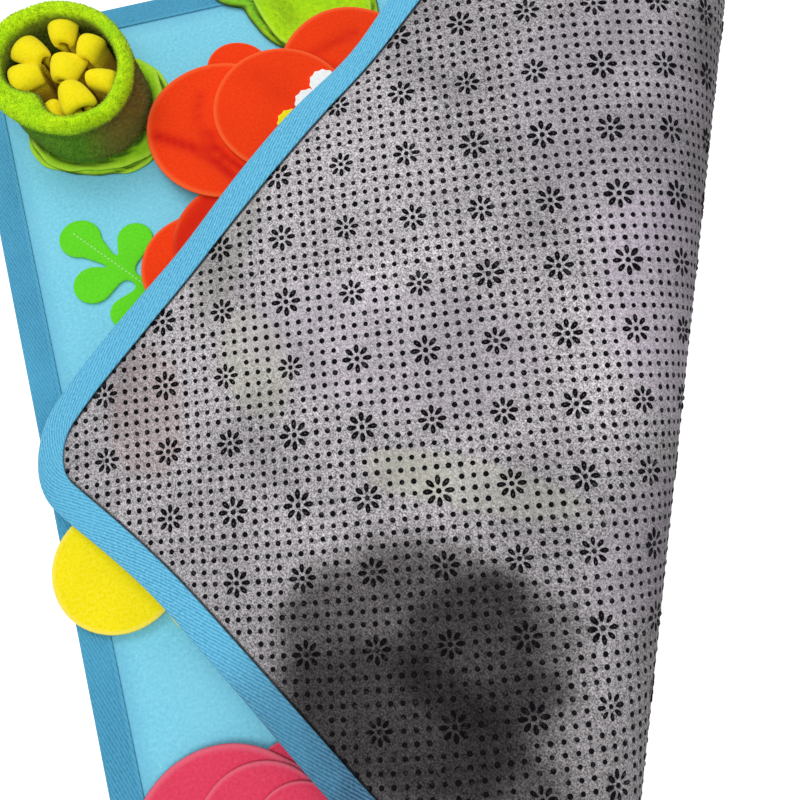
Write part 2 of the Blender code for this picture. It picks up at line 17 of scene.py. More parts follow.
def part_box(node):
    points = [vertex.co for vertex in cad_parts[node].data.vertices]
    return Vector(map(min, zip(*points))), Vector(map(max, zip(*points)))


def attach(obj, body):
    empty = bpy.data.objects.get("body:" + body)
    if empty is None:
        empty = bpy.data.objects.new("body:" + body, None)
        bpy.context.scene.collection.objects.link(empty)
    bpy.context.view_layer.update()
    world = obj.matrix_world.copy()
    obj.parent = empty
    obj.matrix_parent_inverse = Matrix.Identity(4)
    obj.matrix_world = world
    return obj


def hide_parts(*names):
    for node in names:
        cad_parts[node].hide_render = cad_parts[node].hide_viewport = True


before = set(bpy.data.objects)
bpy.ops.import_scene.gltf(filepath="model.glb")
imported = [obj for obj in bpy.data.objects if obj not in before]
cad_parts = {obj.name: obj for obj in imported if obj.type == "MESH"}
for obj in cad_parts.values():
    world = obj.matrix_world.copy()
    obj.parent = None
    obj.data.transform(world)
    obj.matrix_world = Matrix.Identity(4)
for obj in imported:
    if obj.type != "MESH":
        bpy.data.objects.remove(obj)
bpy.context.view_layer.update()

bl_info = {
    "name": "Snuffle Mat",
    "version": (1, 0, 0),
    "blender": (4, 5, 0),
    "location": "View3D > Sidebar > Snuffle Mat",
    "description": "Builds a folded snuffle mat piece by piece",
    "category": "Add Mesh",
}

MM = 0.001
UP = (0.0, 0.0, 1.0)
BODY = "root"

# ---- the mat -------------------------------------------------------------------------------------
MAT_SIDE = 550.0
CORNER_RADIUS = 34.0
TAPE_WIDTH = 14.5

FOLD_ANGLE = 66.4              # of the fold line, from the top edge
FOLD_OFFSET = 356.0            # of the fold line, from the top left corner
CONE_RADIUS = 569.0            # from the cone's tip to the arc where the bend is measured
CONE_FOOT = -200.0
BEND_STEP = 1.0
BEND = (
    # (arc in mm, turn per metre of arc in radians)
    (0, 32.2),
    (30, 32.6),
    (60, 31),
    (90, 22.3),
    (120, 6.7),
    (160, 0.2),
    (210, 1.2),
    (270, 0.9),
    (330, -0.9),
    (420, 5),
)
EDGE_CURLS = (
    # (y in mm on the flat mat's right edge, reach along it, reach inward, how far it dips, how far it draws in)
    (-303, 32, 46, 6.2, 1.5), (-424, 30, 60, 2.2, 0.7),
)
EDGE_SHIFTS = (
    # (x, y in mm on the flat mat, reach, shift along x, along y) where the folded edge strays in its own plane
    (545, -545, 30, -4.5, -3.5), (508, -552, 22, 0, -1.6), (446, -552, 30, 0, 2.4),
    (305, -545, 75, 0, -6),
)
RIPPLES = (
    # (how high, per-mm change along x, along y, phase) of the soft waves in the folded part
    (0.55, 0.052, 0.017, 0.4),
    (0.45, -0.021, 0.064, 2.1),
    (0.3, 0.09, -0.055, 1.2),
)

FELT_FACE = 0.5                # height of the felt's outer face, which the dots stand on
FELT_TOP = 2.0
PANEL_UNDER = 2.4
PANEL_TOP = 3.9

TAPE_SECTION = (
    # (inset from the mat's edge, height), once round the tape's own thickness
    (14.5, 0.3), (14.2, 0.05), (13, 0), (11.6, 0.1), (9, 0), (5.5, 0), (2.8, 0.12),
    (1.1, 0.55), (0.3, 1.3), (0, 2.4), (0.3, 3.5), (1.1, 4.25), (2.8, 4.68), (5.5, 4.8),
    (9, 4.8), (11.6, 4.7), (13, 4.8), (14.2, 4.75), (14.5, 4.5), (14.4, 4.15), (13, 4),
    (8, 4), (3.4, 3.85), (1.9, 3.3), (1.3, 2.4), (1.9, 1.5), (3.4, 0.95), (8, 0.8),
    (13, 0.8), (14.4, 0.65),
)
STITCH_INSET = 12.3
TAPE_OUTER_STEPS = 19          # of the section's points, those on the tape's outer face
TAPE_DROP = 0.45               # how far the lifted tape stands off the felt

# ---- the dots ------------------------------------------------------------------------------------
DOT_ORIGIN = (448.3, -284.7)   # middle of one small flower
DOT_TURN = math.radians(134.4)
DOT_REACH = 112                # dots each way from there
DOT_CELL = 6                   # dots from one small flower to the next

# ---- the plush cup -------------------------------------------------------------------------------
CUP_BASE_CENTRE = (62.5, -66)
CUP_BASE_RADIUS = 38.5
CUP_BASE_CORNER = 2.0
CUP_BASE_TURN = math.radians(27.0)
CUP_BASE_LAYER = 1.5
CUP_FOOT_CENTRE = (59.5, -64.3)
CUP_RIM_CENTRE = (54, -62)
CUP_FOOT_Z = 8.1
CUP_TOP_Z = 45.0
CUP_TILT = 3.0
CUP_HIGH_SIDE = math.radians(85.0)
CUP_BULGE_SIDE = math.radians(-142.0)
CUP_SECTION = (
    # (radius, height as a share of the wall), up the outside and down the inside
    (31.9, 0), (32.5, 0.13), (32.8, 0.3), (32.6, 0.47), (32.4, 0.6), (32.9, 0.69), (33.9, 0.76),
    (34.7, 0.83), (34.8, 0.9), (33.9, 0.96), (32.3, 0.995), (30.6, 1), (29, 0.965), (27.9, 0.9),
    (27.6, 0.83), (28.1, 0.74), (29, 0.65), (29.4, 0.55), (29.5, 0.3), (29.2, 0),
)
CUP_OUTER_STEPS = 12           # of the section's points, those on the outside
CUP_RIM_RADIUS = 34.8
CUP_RIM_MIDDLE = 33.0
LOOP_STRIP = 4.6               # thickness of a loop's strip
LOOP_FLATNESS = 0.80           # height of its bend as a share of its half width
LOOPS = (
    # (angle round the cup, distance from its middle, height of the top, angle the tunnel faces, and the
    # loop's own width, length of tunnel, shift outwards and rise of the crown)
    (77.5, 22, 42, 80, 14, 14, -0.6, 3),
    (33, 18.6, 41, 62, 11.8, 15, -0.6, 2.8),
    (-27, 19, 38.5, -22, 11.6, 14, 0, 3.2),
    (-80, 16.2, 41, -77, 16.4, 14.6, 0, 2.8),
    (-124, 20, 34, -126, 13, 13, 0, 1.6),
    (174, 18.4, 40, 184, 15, 16.6, -0.4, 3),
    (131, 20.4, 41.5, 131, 15.6, 16, -1.4, 2.8),
    (50, 3.4, 40, 66, 17.4, 15.6, -0.6, 2.8),
)

# ---- fleece and felt pieces ----------------------------------------------------------------------
SEWN_Z = 4.3
OVER_TAPE_Z = 5.2
FLEECE = 1.6
LEVEL = 2.4
SPREAD = 60.0

RED_CENTRE = (176, -122)
RED_LIFT = 9.0
RED_PETALS = (
    # (CAD node, tip x, tip y, tip radius, level)
    ("red_petal_low_left", 95, -171, 30, 0),
    ("red_petal_behind", 140, -63, 17, 0),
    ("red_petal_right", 240, -110, 37, 0),
    ("red_petal_top_right", 198.5, -80, 39, 1),
    ("red_petal_low_mid", 119, -164, 36, 1),
    ("red_petal_low_right", 215, -185, 36, 1),
    ("red_petal_left", 124.5, -99.5, 40, 2),
    ("red_petal_bottom", 150, -205, 34, 2),
    ("red_petal_inner_right", 216, -136, 26, 2),
    ("red_petal_inner", 156.6, -96.6, 36.6, 3),
)

RED_CREASE_SHADES = {
    # dark lines of painted shade and painted cast shadow, each sinking the sheet a little: (width, strength, line of x,
    # y points)
    "red_petal_left": (
        (2.9, 0.95, ((90, -95.5), (99.5, -101.7), (108.6, -107.9), (114.7, -115.7), (121.5, -127))),
        (2.4, 0.95, ((114.5, -99), (117, -108), (121.5, -116.5), (127.5, -124))),
        (2.2, 0.45, ((112, -95), (113, -85), (117, -76))),
    ),
    "red_petal_top_right": (
        (2.6, 0.55, ((176, -67.5), (186, -63.2), (195, -60.4), (206, -58.6))),
        (3, 0.6, ((160, -60), (172, -63.5), (184, -71), (192, -80))),
    ),
    "red_petal_inner": ((6, 0.16, ((150, -75), (160, -90), (170, -104))),),
    "red_petal_low_mid": ((7, 0.75, ((84, -160), (95, -148), (106, -138))),),
}

TAB_CENTRE = (181, -117)
TAB_THICKNESS = 1.3
TAB_LEVEL = 1.9
TAB_TIP = 8.0
TABS = (
    # (CAD node, angle, tip distance, level)
    ("white_tab_1", 90, 29.5, 0),
    ("white_tab_2", 119, 22, 1),
    ("yellow_tab_1", 153, 25, 0),
    ("white_tab_3", 205, 26, 1),
    ("yellow_tab_2", 250, 26, 0),
    ("white_tab_4", 298, 26, 1),
    ("yellow_tab_3", 345, 26, 0),
    ("white_tab_5", 38, 27, 1),
)

LEAF_LAYER = 1.4
LEAF_LOWER = (
    # (x, y), anticlockwise from the pointed lobe's tip
    (137, -5), (137.8, -9.8), (141, -14.5), (145.6, -17.7), (152.6, -20.6),
    (153, -26), (154.9, -31.7), (158.2, -40.7), (162.2, -47.2), (170, -55),
    (181, -62), (194, -65), (207, -63), (218, -55), (225, -43),
    (226, -29), (220, -16), (209, -6.5), (195, -1.8), (178, -1),
    (160, -1), (147, -1), (140, -2),
)
LEAF_UPPER = (
    # (x, y), anticlockwise from its narrow end
    (159, -14), (158.6, -19.8), (160.2, -30), (163.2, -41.5), (167.4, -51.5),
    (178, -58.5), (192, -62), (206, -60), (216.5, -51.5), (222, -39),
    (221, -26), (213, -14), (200, -6.5), (185, -4), (170, -6),
)

YELLOW_CENTRE = (58.6, -281)
YELLOW_LIFT = 1.0
YELLOW_LEVEL = 1.9
YELLOW_THICKNESS = 1.5
YELLOW_PETALS = (
    # (CAD node, tip x, tip y, tip radius, level)
    ("yellow_petal_left", 24.7, -303.6, 29.6, 1),
    ("yellow_petal_low", 69.5, -320.5, 29.6, 0),
    ("yellow_petal_right", 99, -283, 27, 1),
    ("yellow_petal_top", 73, -243, 27, 2),
    ("yellow_petal_top_left", 38, -257, 21, 0),
)

ROSETTE_CENTRE = (62, -436)
ROSETTE_PETALS = (
    # (CAD node, tip x, tip y, tip radius, root x, root y, root radius, level)
    ("rosette_petal_behind", 75.5, -407.5, 11.5, 66, -440, 20, 0),
    ("rosette_petal_outer", 45, -431.5, 42.5, 60, -436, 36, 1),
    ("rosette_petal_middle", 61, -428.5, 28.5, 68, -442, 26, 2),
    ("rosette_petal_inner", 76, -432, 20, 72, -438, 16, 3),
)

SPRIG_LAYER = 1.4
SPRIG_TIP = (39, -135.5)
SPRIG_FOOT = (76, -184)
SPRIG_STEM = 2.5
SPRIG_END_RADIUS = 10.5
SPRIG_LEAVES = (
    # (place along the stem, side: 1 is right of it going down, leaf centre x, y, radius)
    (28, -1, 65.5, -143, 9),
    (28, 1, 40.5, -162.5, 10),
    (46, -1, 79, -161, 8.5),
    (46, 1, 53.5, -181.5, 8.5),
)

# ---- the camera, floor and lights ----------------------------------------------------------------
CAMERA_PLACE = (122.2, -373.8, 411)
CAMERA_AZIMUTH = math.radians(-23.4)
CAMERA_ELEVATION = math.radians(73.4)
CAMERA_ROLL = math.radians(6.83)
CAMERA_LENS = 39.15
FLOOR_REACH = 3.0
LIGHTS = (
    # (name, place in metres, size, power); each faces the mat
    ("key_light", (-0.45, 1.00, 1.50), 0.80, 9.0),
    ("fill_light", (-0.20, -0.45, 1.55), 0.70, 10.0),
)


# ---- settings ------------------------------------------------------------------------------------
def size_property(name, description, default, low, high, **unit):
    return FloatProperty(name=name, description=description, default=default, min=low, max=high, **unit)


def length_property(*values):
    return size_property(*values, unit="LENGTH")


class MatSizes(bpy.types.PropertyGroup):
    """Sizes of the mat's small repeated details."""

    dot_pitch: length_property("Dot pitch", "From one rubber dot to the next", 0.005, 0.003, 0.01)
    dot_radius: length_property("Dot radius", "Of one small rubber dot", 0.00122, 0.0005, 0.002)
    rib_pitch: length_property("Rib pitch", "From one rib of the binding tape to the next", 0.00135, 0.0005, 0.005)
    stitch_pitch: length_property("Stitch pitch", "From one stitch of the binding to the next", 0.0036, 0.002, 0.008)
    pile_length: length_property("Pile length", "Of one tuft of the green plush", 0.0009, 0.0005, 0.004)
    pile_density: size_property("Pile density", "Tufts of plush per square metre", 1500000.0, 1000.0, 3000000.0)
    seed: IntProperty(name="Seed", description="Of the small random differences", default=7, min=0)


def colour_property(name, description, value):
    return FloatVectorProperty(
        name=name, description=description, subtype="COLOR", size=3, min=0.0, max=1.0, default=value,
    )


class MatColours(bpy.types.PropertyGroup):
    """Colours of the mat's cloths."""

    felt: colour_property("Felt", "Middle grey of the backing felt", (0.36, 0.340, 0.355))
    dots: colour_property("Dots", "Rubber dots on the felt", (0.004, 0.0035, 0.005))
    tape: colour_property("Tape", "Binding tape round the edge", (0.078, 0.425, 0.680))
    panel: colour_property("Panel", "Light blue panel", (0.205, 0.64, 0.82))
    plush: colour_property("Plush", "Green plush of the cup and leaf", (0.56, 0.87, 0.005))
    sprig: colour_property("Sprig", "Green felt of the sprig", (0.13, 0.72, 0.018))
    yellow: colour_property("Yellow", "Yellow fleece", (0.96, 0.80, 0.005))
    red: colour_property("Red", "Red fleece", (0.93, 0.046, 0.003))
    white: colour_property("White", "White fleece", (0.98, 0.98, 0.97))
    pink: colour_property("Pink", "Pink fleece of the rosette", (0.76, 0.050, 0.112))


# ---- shader maths --------------------------------------------------------------------------------
def arithmetic(operation, swapped=False):
    """A method that adds a Math node of one kind."""
    def method(self, *others):
        values = (*others, self) if swapped else (self, *others)
        return self.finish.node("ShaderNodeMath", {"operation": operation}, values)

    return method


class Value:
    """One output of a material's nodes. Arithmetic on it adds Math nodes."""

    def __init__(self, finish, socket):
        self.finish = finish
        self.socket = socket

    __add__, __radd__ = arithmetic("ADD"), arithmetic("ADD", True)
    __sub__, __rsub__ = arithmetic("SUBTRACT"), arithmetic("SUBTRACT", True)
    __mul__, __rmul__ = arithmetic("MULTIPLY"), arithmetic("MULTIPLY", True)
    __truediv__ = arithmetic("DIVIDE")
    sine, lesser = arithmetic("SINE"), arithmetic("MINIMUM")

    def clamped(self):
        return self.finish.node("ShaderNodeClamp", {}, (self,))


class Finish:
    """A material and the nodes that make it."""

    def __init__(self, name, roughness, sheen=0.0):
        self.material = bpy.data.materials.new(name)
        self.material.use_nodes = True
        self.tree = self.material.node_tree
        self.shader = self.tree.nodes["Principled BSDF"]
        self.shader.inputs["Roughness"].default_value = roughness
        self.shader.inputs["Sheen Weight"].default_value = sheen
        self.shader.inputs["Sheen Roughness"].default_value = 0.6
        self.shader.inputs["Specular IOR Level"].default_value = 0.12

    def feed(self, socket, value):
        if isinstance(value, Value):
            self.tree.links.new(value.socket, socket)
        elif hasattr(socket.default_value, "__len__") and not hasattr(value, "__len__"):
            socket.default_value = [value] * len(socket.default_value)
        elif hasattr(value, "__len__") and len(value) < len(socket.default_value):
            socket.default_value = (*value, 1.0)
        else:
            socket.default_value = value

    def node(self, kind, settings, values, output=0):
        """Any node: its settings come first, then its sockets by number or name."""
        made = self.tree.nodes.new(kind)
        for name, setting in settings.items():
            if name == "stops":
                ramp = made.color_ramp
                while len(ramp.elements) < len(setting):
                    ramp.elements.new(1.0)
                for element, (place, colour) in zip(ramp.elements, setting):
                    element.position = place
                    element.color = (*colour, 1.0)
            else:
                setattr(made, name, setting)
        pairs = values.items() if isinstance(values, dict) else enumerate(values)
        for key, value in pairs:
            self.feed(made.inputs[key], value)
        return Value(self, made.outputs[output])

    def flat_coordinates(self):
        return self.node("ShaderNodeUVMap", {"uv_map": "flat"}, ())

    def split(self, vector):
        made = self.node("ShaderNodeSeparateXYZ", {}, (vector,))
        outputs = made.socket.node.outputs
        return Value(self, outputs[0]), Value(self, outputs[1])

    def attribute(self, name):
        return self.node("ShaderNodeAttribute", {"attribute_name": name}, (), 2)

    def noise(self, coordinates, scale, detail=2.0, roughness=0.5):
        values = {"Vector": coordinates, "Scale": scale, "Detail": detail, "Roughness": roughness}
        return self.node("ShaderNodeTexNoise", {}, values)

    def ramp(self, factor, *stops):
        return self.node("ShaderNodeValToRGB", {"stops": stops}, (factor,))

    def blend(self, factor, first, second, mode="MIX"):
        settings = {"data_type": "RGBA", "blend_type": mode, "clamp_factor": True}
        return self.node("ShaderNodeMix", settings, {0: factor, 6: first, 7: second}, 2)

    def remap(self, value, low, high, new_low=0.0, new_high=1.0):
        return self.node(
            "ShaderNodeMapRange", {"interpolation_type": "SMOOTHSTEP"}, (value, low, high, new_low, new_high)
        )

    def colour(self, value):
        self.feed(self.shader.inputs["Base Color"], value)

    def roughness(self, value):
        self.feed(self.shader.inputs["Roughness"], value)

    def done(self, colour, height, distance, strength):
        """Ends the material in its colour and a bump, with the distance in metres."""
        self.colour(colour)
        values = {"Strength": strength, "Distance": distance, "Height": height}
        self.feed(self.shader.inputs["Normal"], self.node("ShaderNodeBump", {}, values))
        return self.material

    def place(self):
        """Where a point is in the object."""
        return self.node("ShaderNodeTexCoord", {}, (), 3)

    def edge_distance(self, flat):
        """How far a point of the flat mat is from its nearest side, in metres."""
        x, y = self.split(flat)
        right, low = MAT_SIDE * MM - x, y + MAT_SIDE * MM
        return x.lesser(right).lesser((y * -1.0).lesser(low))


def scaled(colour, share):
    return tuple(min(1.0, part * share) for part in colour)


def leaning(colour, target, share):
    return tuple(a + (b - a) * share for a, b in zip(colour, target))


FELT_PAINTED_SHADE_AND_LIGHT = (
    # painted shadow and light on the felt, the first four rows a broad painted shadow low on the flap, the fifth a
    # faint darker patch, the last a painted pool of light: (x, y in mm on the flat mat, radius along and across, turn
    # in degrees, colour to multiply by, how strong)
    (346, -492, 62, 52, -20, (0.1, 0.09, 0.085), 0.8),
    (312, -518, 74, 44, 0, (0.1, 0.09, 0.085), 0.66),
    (326, -466, 40, 30, -40, (0.1, 0.09, 0.085), 0.56),
    (286, -486, 40, 34, 0, (0.1, 0.09, 0.085), 0.3),
    (488, -258, 66, 34, -35, (0.1, 0.09, 0.1), 0.2),
    (412, -376, 66, 50, -30, (1.3, 1.29, 1.3), 0.85),
)
FELT_STAINS_AND_HIGHLIGHT = (
    # (the same, with a colour to blend in); the pale cream rows at 372, -420 and 398, -436 are a painted highlight, the
    # others tinted stains
    (482, -442, 26, 17, 30, (0.46, 0.47, 0.33), 0.55),
    (372, -420, 46, 11, -26, (0.62, 0.62, 0.5), 0.55),
    (398, -436, 20, 10, -26, (0.58, 0.58, 0.44), 0.45),
    (508, -492, 30, 20, 40, (0.3, 0.17, 0.15), 0.5),
    (536, -400, 60, 14, 62, (0.22, 0.22, 0.17), 0.45),
    (440, -400, 70, 30, -30, (0.47, 0.4, 0.5), 0.5),
    (350, -300, 60, 46, 20, (0.5, 0.4, 0.55), 0.5),
    (296, -384, 26, 46, 10, (0.52, 0.42, 0.58), 0.3),
    (420, -250, 60, 60, 0, (0.4, 0.34, 0.44), 0.4),
    (432, -205, 44, 20, -50, (0.13, 0.12, 0.13), 0.45),
)


def felt_finish(colours):
    """Needled felt: light and dark fibres under a millimetre long, faint stains a hand wide, and painted light and
    shade: patches of painted shadow and light, a painted shadow line along the tape and painted shade towards the
    fold's edge.
    """
    finish = Finish("dotted_felt_finish", 0.95)
    grey = tuple(colours.felt)
    flat = finish.flat_coordinates()
    speckle = finish.noise(flat, 1250.0, 2.0, 0.8) * 0.66 + finish.noise(flat, 520.0, 2.0, 0.7) * 0.34
    stops = ((0.36, 0.16), (0.44, 0.55), (0.50, 1.08), (0.57, 1.60), (0.66, 2.40))
    cloth = finish.ramp(speckle, *((stop, scaled(grey, share)) for stop, share in stops))
    x, y = finish.split(flat)
    wander = finish.noise(flat, 26.0, 3.0, 0.6) - 0.5
    for mode, share, patches in (("MULTIPLY", 1.0, FELT_PAINTED_SHADE_AND_LIGHT), ("MIX", 0.55, FELT_STAINS_AND_HIGHLIGHT)):
        for centre_x, centre_y, long, wide, turn, colour, strength in patches:
            turn = math.radians(turn)
            right, up = x / MM - centre_x, y / MM - centre_y
            first = (right * math.cos(turn) + up * math.sin(turn)) / long
            second = (up * math.cos(turn) - right * math.sin(turn)) / wide
            near = finish.remap(first * first + second * second + wander, 0.56, 1.24, strength, 0.0)
            cloth = finish.blend(near, cloth, finish.blend(share, cloth, colour, mode))
    shade = finish.remap(finish.noise(flat, 11.0, 4.0, 0.65), 0.32, 0.68, 0.72, 1.16)
    # painted shadow: a dark line on the felt along the tape's inner edge
    shade = shade * finish.remap(finish.edge_distance(flat), 0.0148, 0.0160, 0.22, 1.0)
    # painted shade: the folded felt darkens where it turns away towards the fold's edge
    across = x * float(FOLD.across[0]) + y * float(FOLD.across[1]) - FOLD_OFFSET * MM
    along = x * float(FOLD.along[0]) + y * float(FOLD.along[1]) - FOLD.tip * MM
    shade = shade * finish.remap(across / along, 0.120, 0.190, 0.58, 1.0)
    cloth = finish.blend(1.0, cloth, finish.node("ShaderNodeCombineColor", {}, (shade, shade, shade)), "MULTIPLY")
    return finish.done(cloth, speckle, 0.0005, 0.5)


def dot_finish(colours):
    """Moulded rubber: random paler grey patches, partly wear and partly a painted highlight."""
    finish = Finish("rubber_dot_finish", 0.55)
    finish.shader.inputs["Specular IOR Level"].default_value = 0.04
    place = finish.place()
    wear_and_highlight = finish.noise(place, 420.0, 2.0)
    black = tuple(colours.dots)
    # paler grey on the black rubber: partly wear, partly a painted highlight
    finish.colour(finish.ramp(wear_and_highlight, (0.54, black), (0.76, leaning(black, (0.07, 0.07, 0.075), 0.7))))
    finish.roughness(finish.remap(wear_and_highlight, 0.3, 0.7, 0.45, 0.70))
    return finish.material


def tape_finish(colours, sizes):
    """Twill tape: fine slanting ribs, paler where it is folded up into the light."""
    finish = Finish("binding_tape_finish", 0.72, 0.05)
    blue = tuple(colours.tape)
    flat = finish.flat_coordinates()
    along, across = finish.split(flat)
    slant = math.radians(19.0)
    turns = 2.0 * math.pi / sizes.rib_pitch
    wander = finish.noise(flat, 260.0, 2.0) * 3.6
    ribs = (across * (turns * math.cos(slant)) - along * (turns * math.sin(slant)) + wander).sine()
    threads = (along * (turns * 1.9 * math.cos(slant)) + across * (turns * 1.9 * math.sin(slant))).sine()
    weave = ribs * 0.27 + threads * 0.05 + 0.5
    grain = finish.noise(flat, 700.0, 2.0, 0.6)
    depth = (weave + (grain - 0.5) * 1.1).clamped()
    low = leaning(scaled(blue, 0.70), (0.052, 0.300, 0.490), 0.85)
    lying = finish.ramp(
        depth, (0.06, scaled(low, 0.66)), (0.36, scaled(low, 0.97)), (0.88, leaning(low, (0.20, 0.55, 0.80), 0.25)),
    )
    lying = finish.blend(
        finish.remap(across, 0.0288, 0.0325, 0.0, 0.75), lying, leaning(low, (0.15, 0.56, 0.78), 0.6)
    )
    raised = finish.ramp(
        depth, (0.06, scaled(blue, 0.60)), (0.34, scaled(blue, 0.95)), (0.88, leaning(blue, (0.45, 0.85, 1.0), 0.35)),
    )
    # the tape's run starts along the mat's bottom edge, where the folded part lies in shade
    dull = finish.remap(along, 0.440, 0.378, 0.0, 0.95)
    shaded_blue = finish.ramp(
        depth, (0.10, (0.006, 0.030, 0.075)), (0.42, (0.030, 0.080, 0.145)), (0.90, (0.085, 0.20, 0.32)),
    )
    lifted = finish.remap(finish.node("ShaderNodeSeparateXYZ", {}, (finish.place(),), 2), 0.006, 0.018)
    cloth = finish.blend(lifted, lying, finish.blend(dull, raised, shaded_blue))
    fade = finish.remap(finish.noise(flat, 22.0, 3.0), 0.35, 0.72)
    cloth = finish.blend(fade * 0.30, cloth, leaning(blue, (0.14, 0.56, 0.85), 0.6))
    return finish.done(cloth, weave, 0.0003, 0.7)


def panel_finish(colours):
    """Brushed cloth with a short soft nap, shaded where it dips to the binding."""
    finish = Finish("panel_cloth_finish", 0.93, 0.05)
    blue = tuple(colours.panel)
    flat = finish.flat_coordinates()
    nap = finish.noise(flat, 620.0, 3.0, 0.65)
    cloth = finish.ramp(nap, (0.30, scaled(blue, 0.86)), (0.52, blue), (0.74, leaning(blue, (0.62, 0.90, 0.98), 0.22)))
    brushed = finish.remap(finish.noise(flat, 16.0, 4.0, 0.55), 0.36, 0.70)
    cloth = finish.blend(brushed * 0.30, cloth, leaning(blue, (0.32, 0.70, 0.88), 0.55))
    dip = finish.remap(finish.edge_distance(flat) + finish.noise(flat, 60.0, 2.0) * 0.004, 0.0165, 0.0265, 0.40, 0.0)
    cloth = finish.blend(dip, cloth, leaning(scaled(blue, 0.72), (0.10, 0.36, 0.62), 0.6))
    return finish.done(cloth, nap, 0.0004, 0.5)


def plush_finish(colours, name, shades):
    """Short-pile plush: clumps of pile catch the light, and the hollows between them are dark."""
    finish = Finish(name, 0.96, 0.06)
    green = tuple(colours.plush)
    place = finish.place()
    clumps = finish.noise(place, 330.0, 3.0, 0.65)
    hairs = finish.noise(place, 1300.0, 2.0, 0.6)
    pile = clumps * 0.55 + hairs * 0.45
    cloth = finish.ramp(
        pile,
        (0.34, leaning(scaled(green, 0.50), (0.10, 0.45, 0.004), 0.4)), (0.47, scaled(green, 0.88)),
        (0.58, scaled(green, 1.05)), (0.74, leaning(green, (0.80, 0.95, 0.12), 0.35)),
    )
    patches = finish.remap(finish.noise(place, 42.0, 3.0, 0.6), 0.42, 0.66)
    cloth = finish.blend(patches * 0.45, cloth, leaning(green, (0.17, 0.62, 0.004), 0.7))
    cloth = shaded(finish, cloth, place, pile, shades)
    # painted highlight: a paler line along the cut edge of the base and leaf
    edge = finish.remap(finish.attribute("rim"), 0.90, 0.98)
    cloth = finish.blend(edge * 0.35, cloth, leaning(green, (0.75, 0.98, 0.20), 0.4))
    # painted shade: dark green along fold lines, layer edges and where pieces meet
    cloth = finish.blend(finish.attribute("crease"), cloth, (0.030, 0.085, 0.004))
    return finish.done(cloth, pile, 0.001, 0.6)


def shaded(finish, cloth, place, nap, shades):
    """Tints, painted shade and painted reflection among them, that come and go along directions in the object.

    shades are (colour, strength, ramps), and ramps are (low, high, direction) in metres. A direction of two
    numbers is a place in plan instead, and the ramp then runs with the distance from it.
    """
    for colour, strength, ramps in shades:
        factor = strength
        for low, high, direction in ramps:
            if len(direction) == 3:
                along = finish.node("ShaderNodeVectorMath", {"operation": "DOT_PRODUCT"}, (place, direction), 1)
            else:
                plan = finish.node("ShaderNodeVectorMath", {"operation": "MULTIPLY"}, (place, (1.0, 1.0, 0.0)), 0)
                along = finish.node("ShaderNodeVectorMath", {"operation": "DISTANCE"}, (plan, (*direction, 0.0)), 1)
            wander = (nap - 0.5) * abs(high - low)
            factor = finish.remap(along + wander, low, high) * factor
        cloth = finish.blend(factor, cloth, finish.blend(nap, scaled(colour, 0.4), scaled(colour, 1.6)))
    return cloth


def fleece_finish(name, colour, rim=0.30, pale=(1.0, 0.85, 0.70), dark=(0.80, 0.62, 0.55), shades=()):
    """Anti-pill fleece: soft nap, a painted highlight along the cut edge, and painted shade along folds and cast shadow
    lines.
    """
    if name in bpy.data.materials:
        return bpy.data.materials[name]
    finish = Finish(name, 0.95, 0.04)
    colour = tuple(colour)
    flat = finish.flat_coordinates()
    nap = finish.noise(flat, 700.0, 3.0, 0.6)
    cloth = finish.ramp(nap, (0.30, scaled(colour, 0.86)), (0.52, colour), (0.76, leaning(colour, pale, 0.08)))
    cloud = finish.remap(finish.noise(flat, 34.0, 3.0), 0.35, 0.70)
    cloth = finish.blend(cloud * 0.25, cloth, scaled(colour, 0.80))
    # painted highlight: a paler line along the cut edge, as strong as rim
    edge = finish.remap(finish.attribute("rim"), 0.91, 0.99)
    cloth = finish.blend(edge * rim, cloth, leaning(colour, pale, 0.45))
    # painted shade: darker along fold lines and cast shadow lines
    cloth = finish.blend(finish.attribute("crease"), cloth, tuple(a * b for a, b in zip(colour, dark)))
    if shades:
        cloth = shaded(finish, cloth, finish.place(), nap, shades)
    return finish.done(cloth, nap, 0.0004, 0.5)


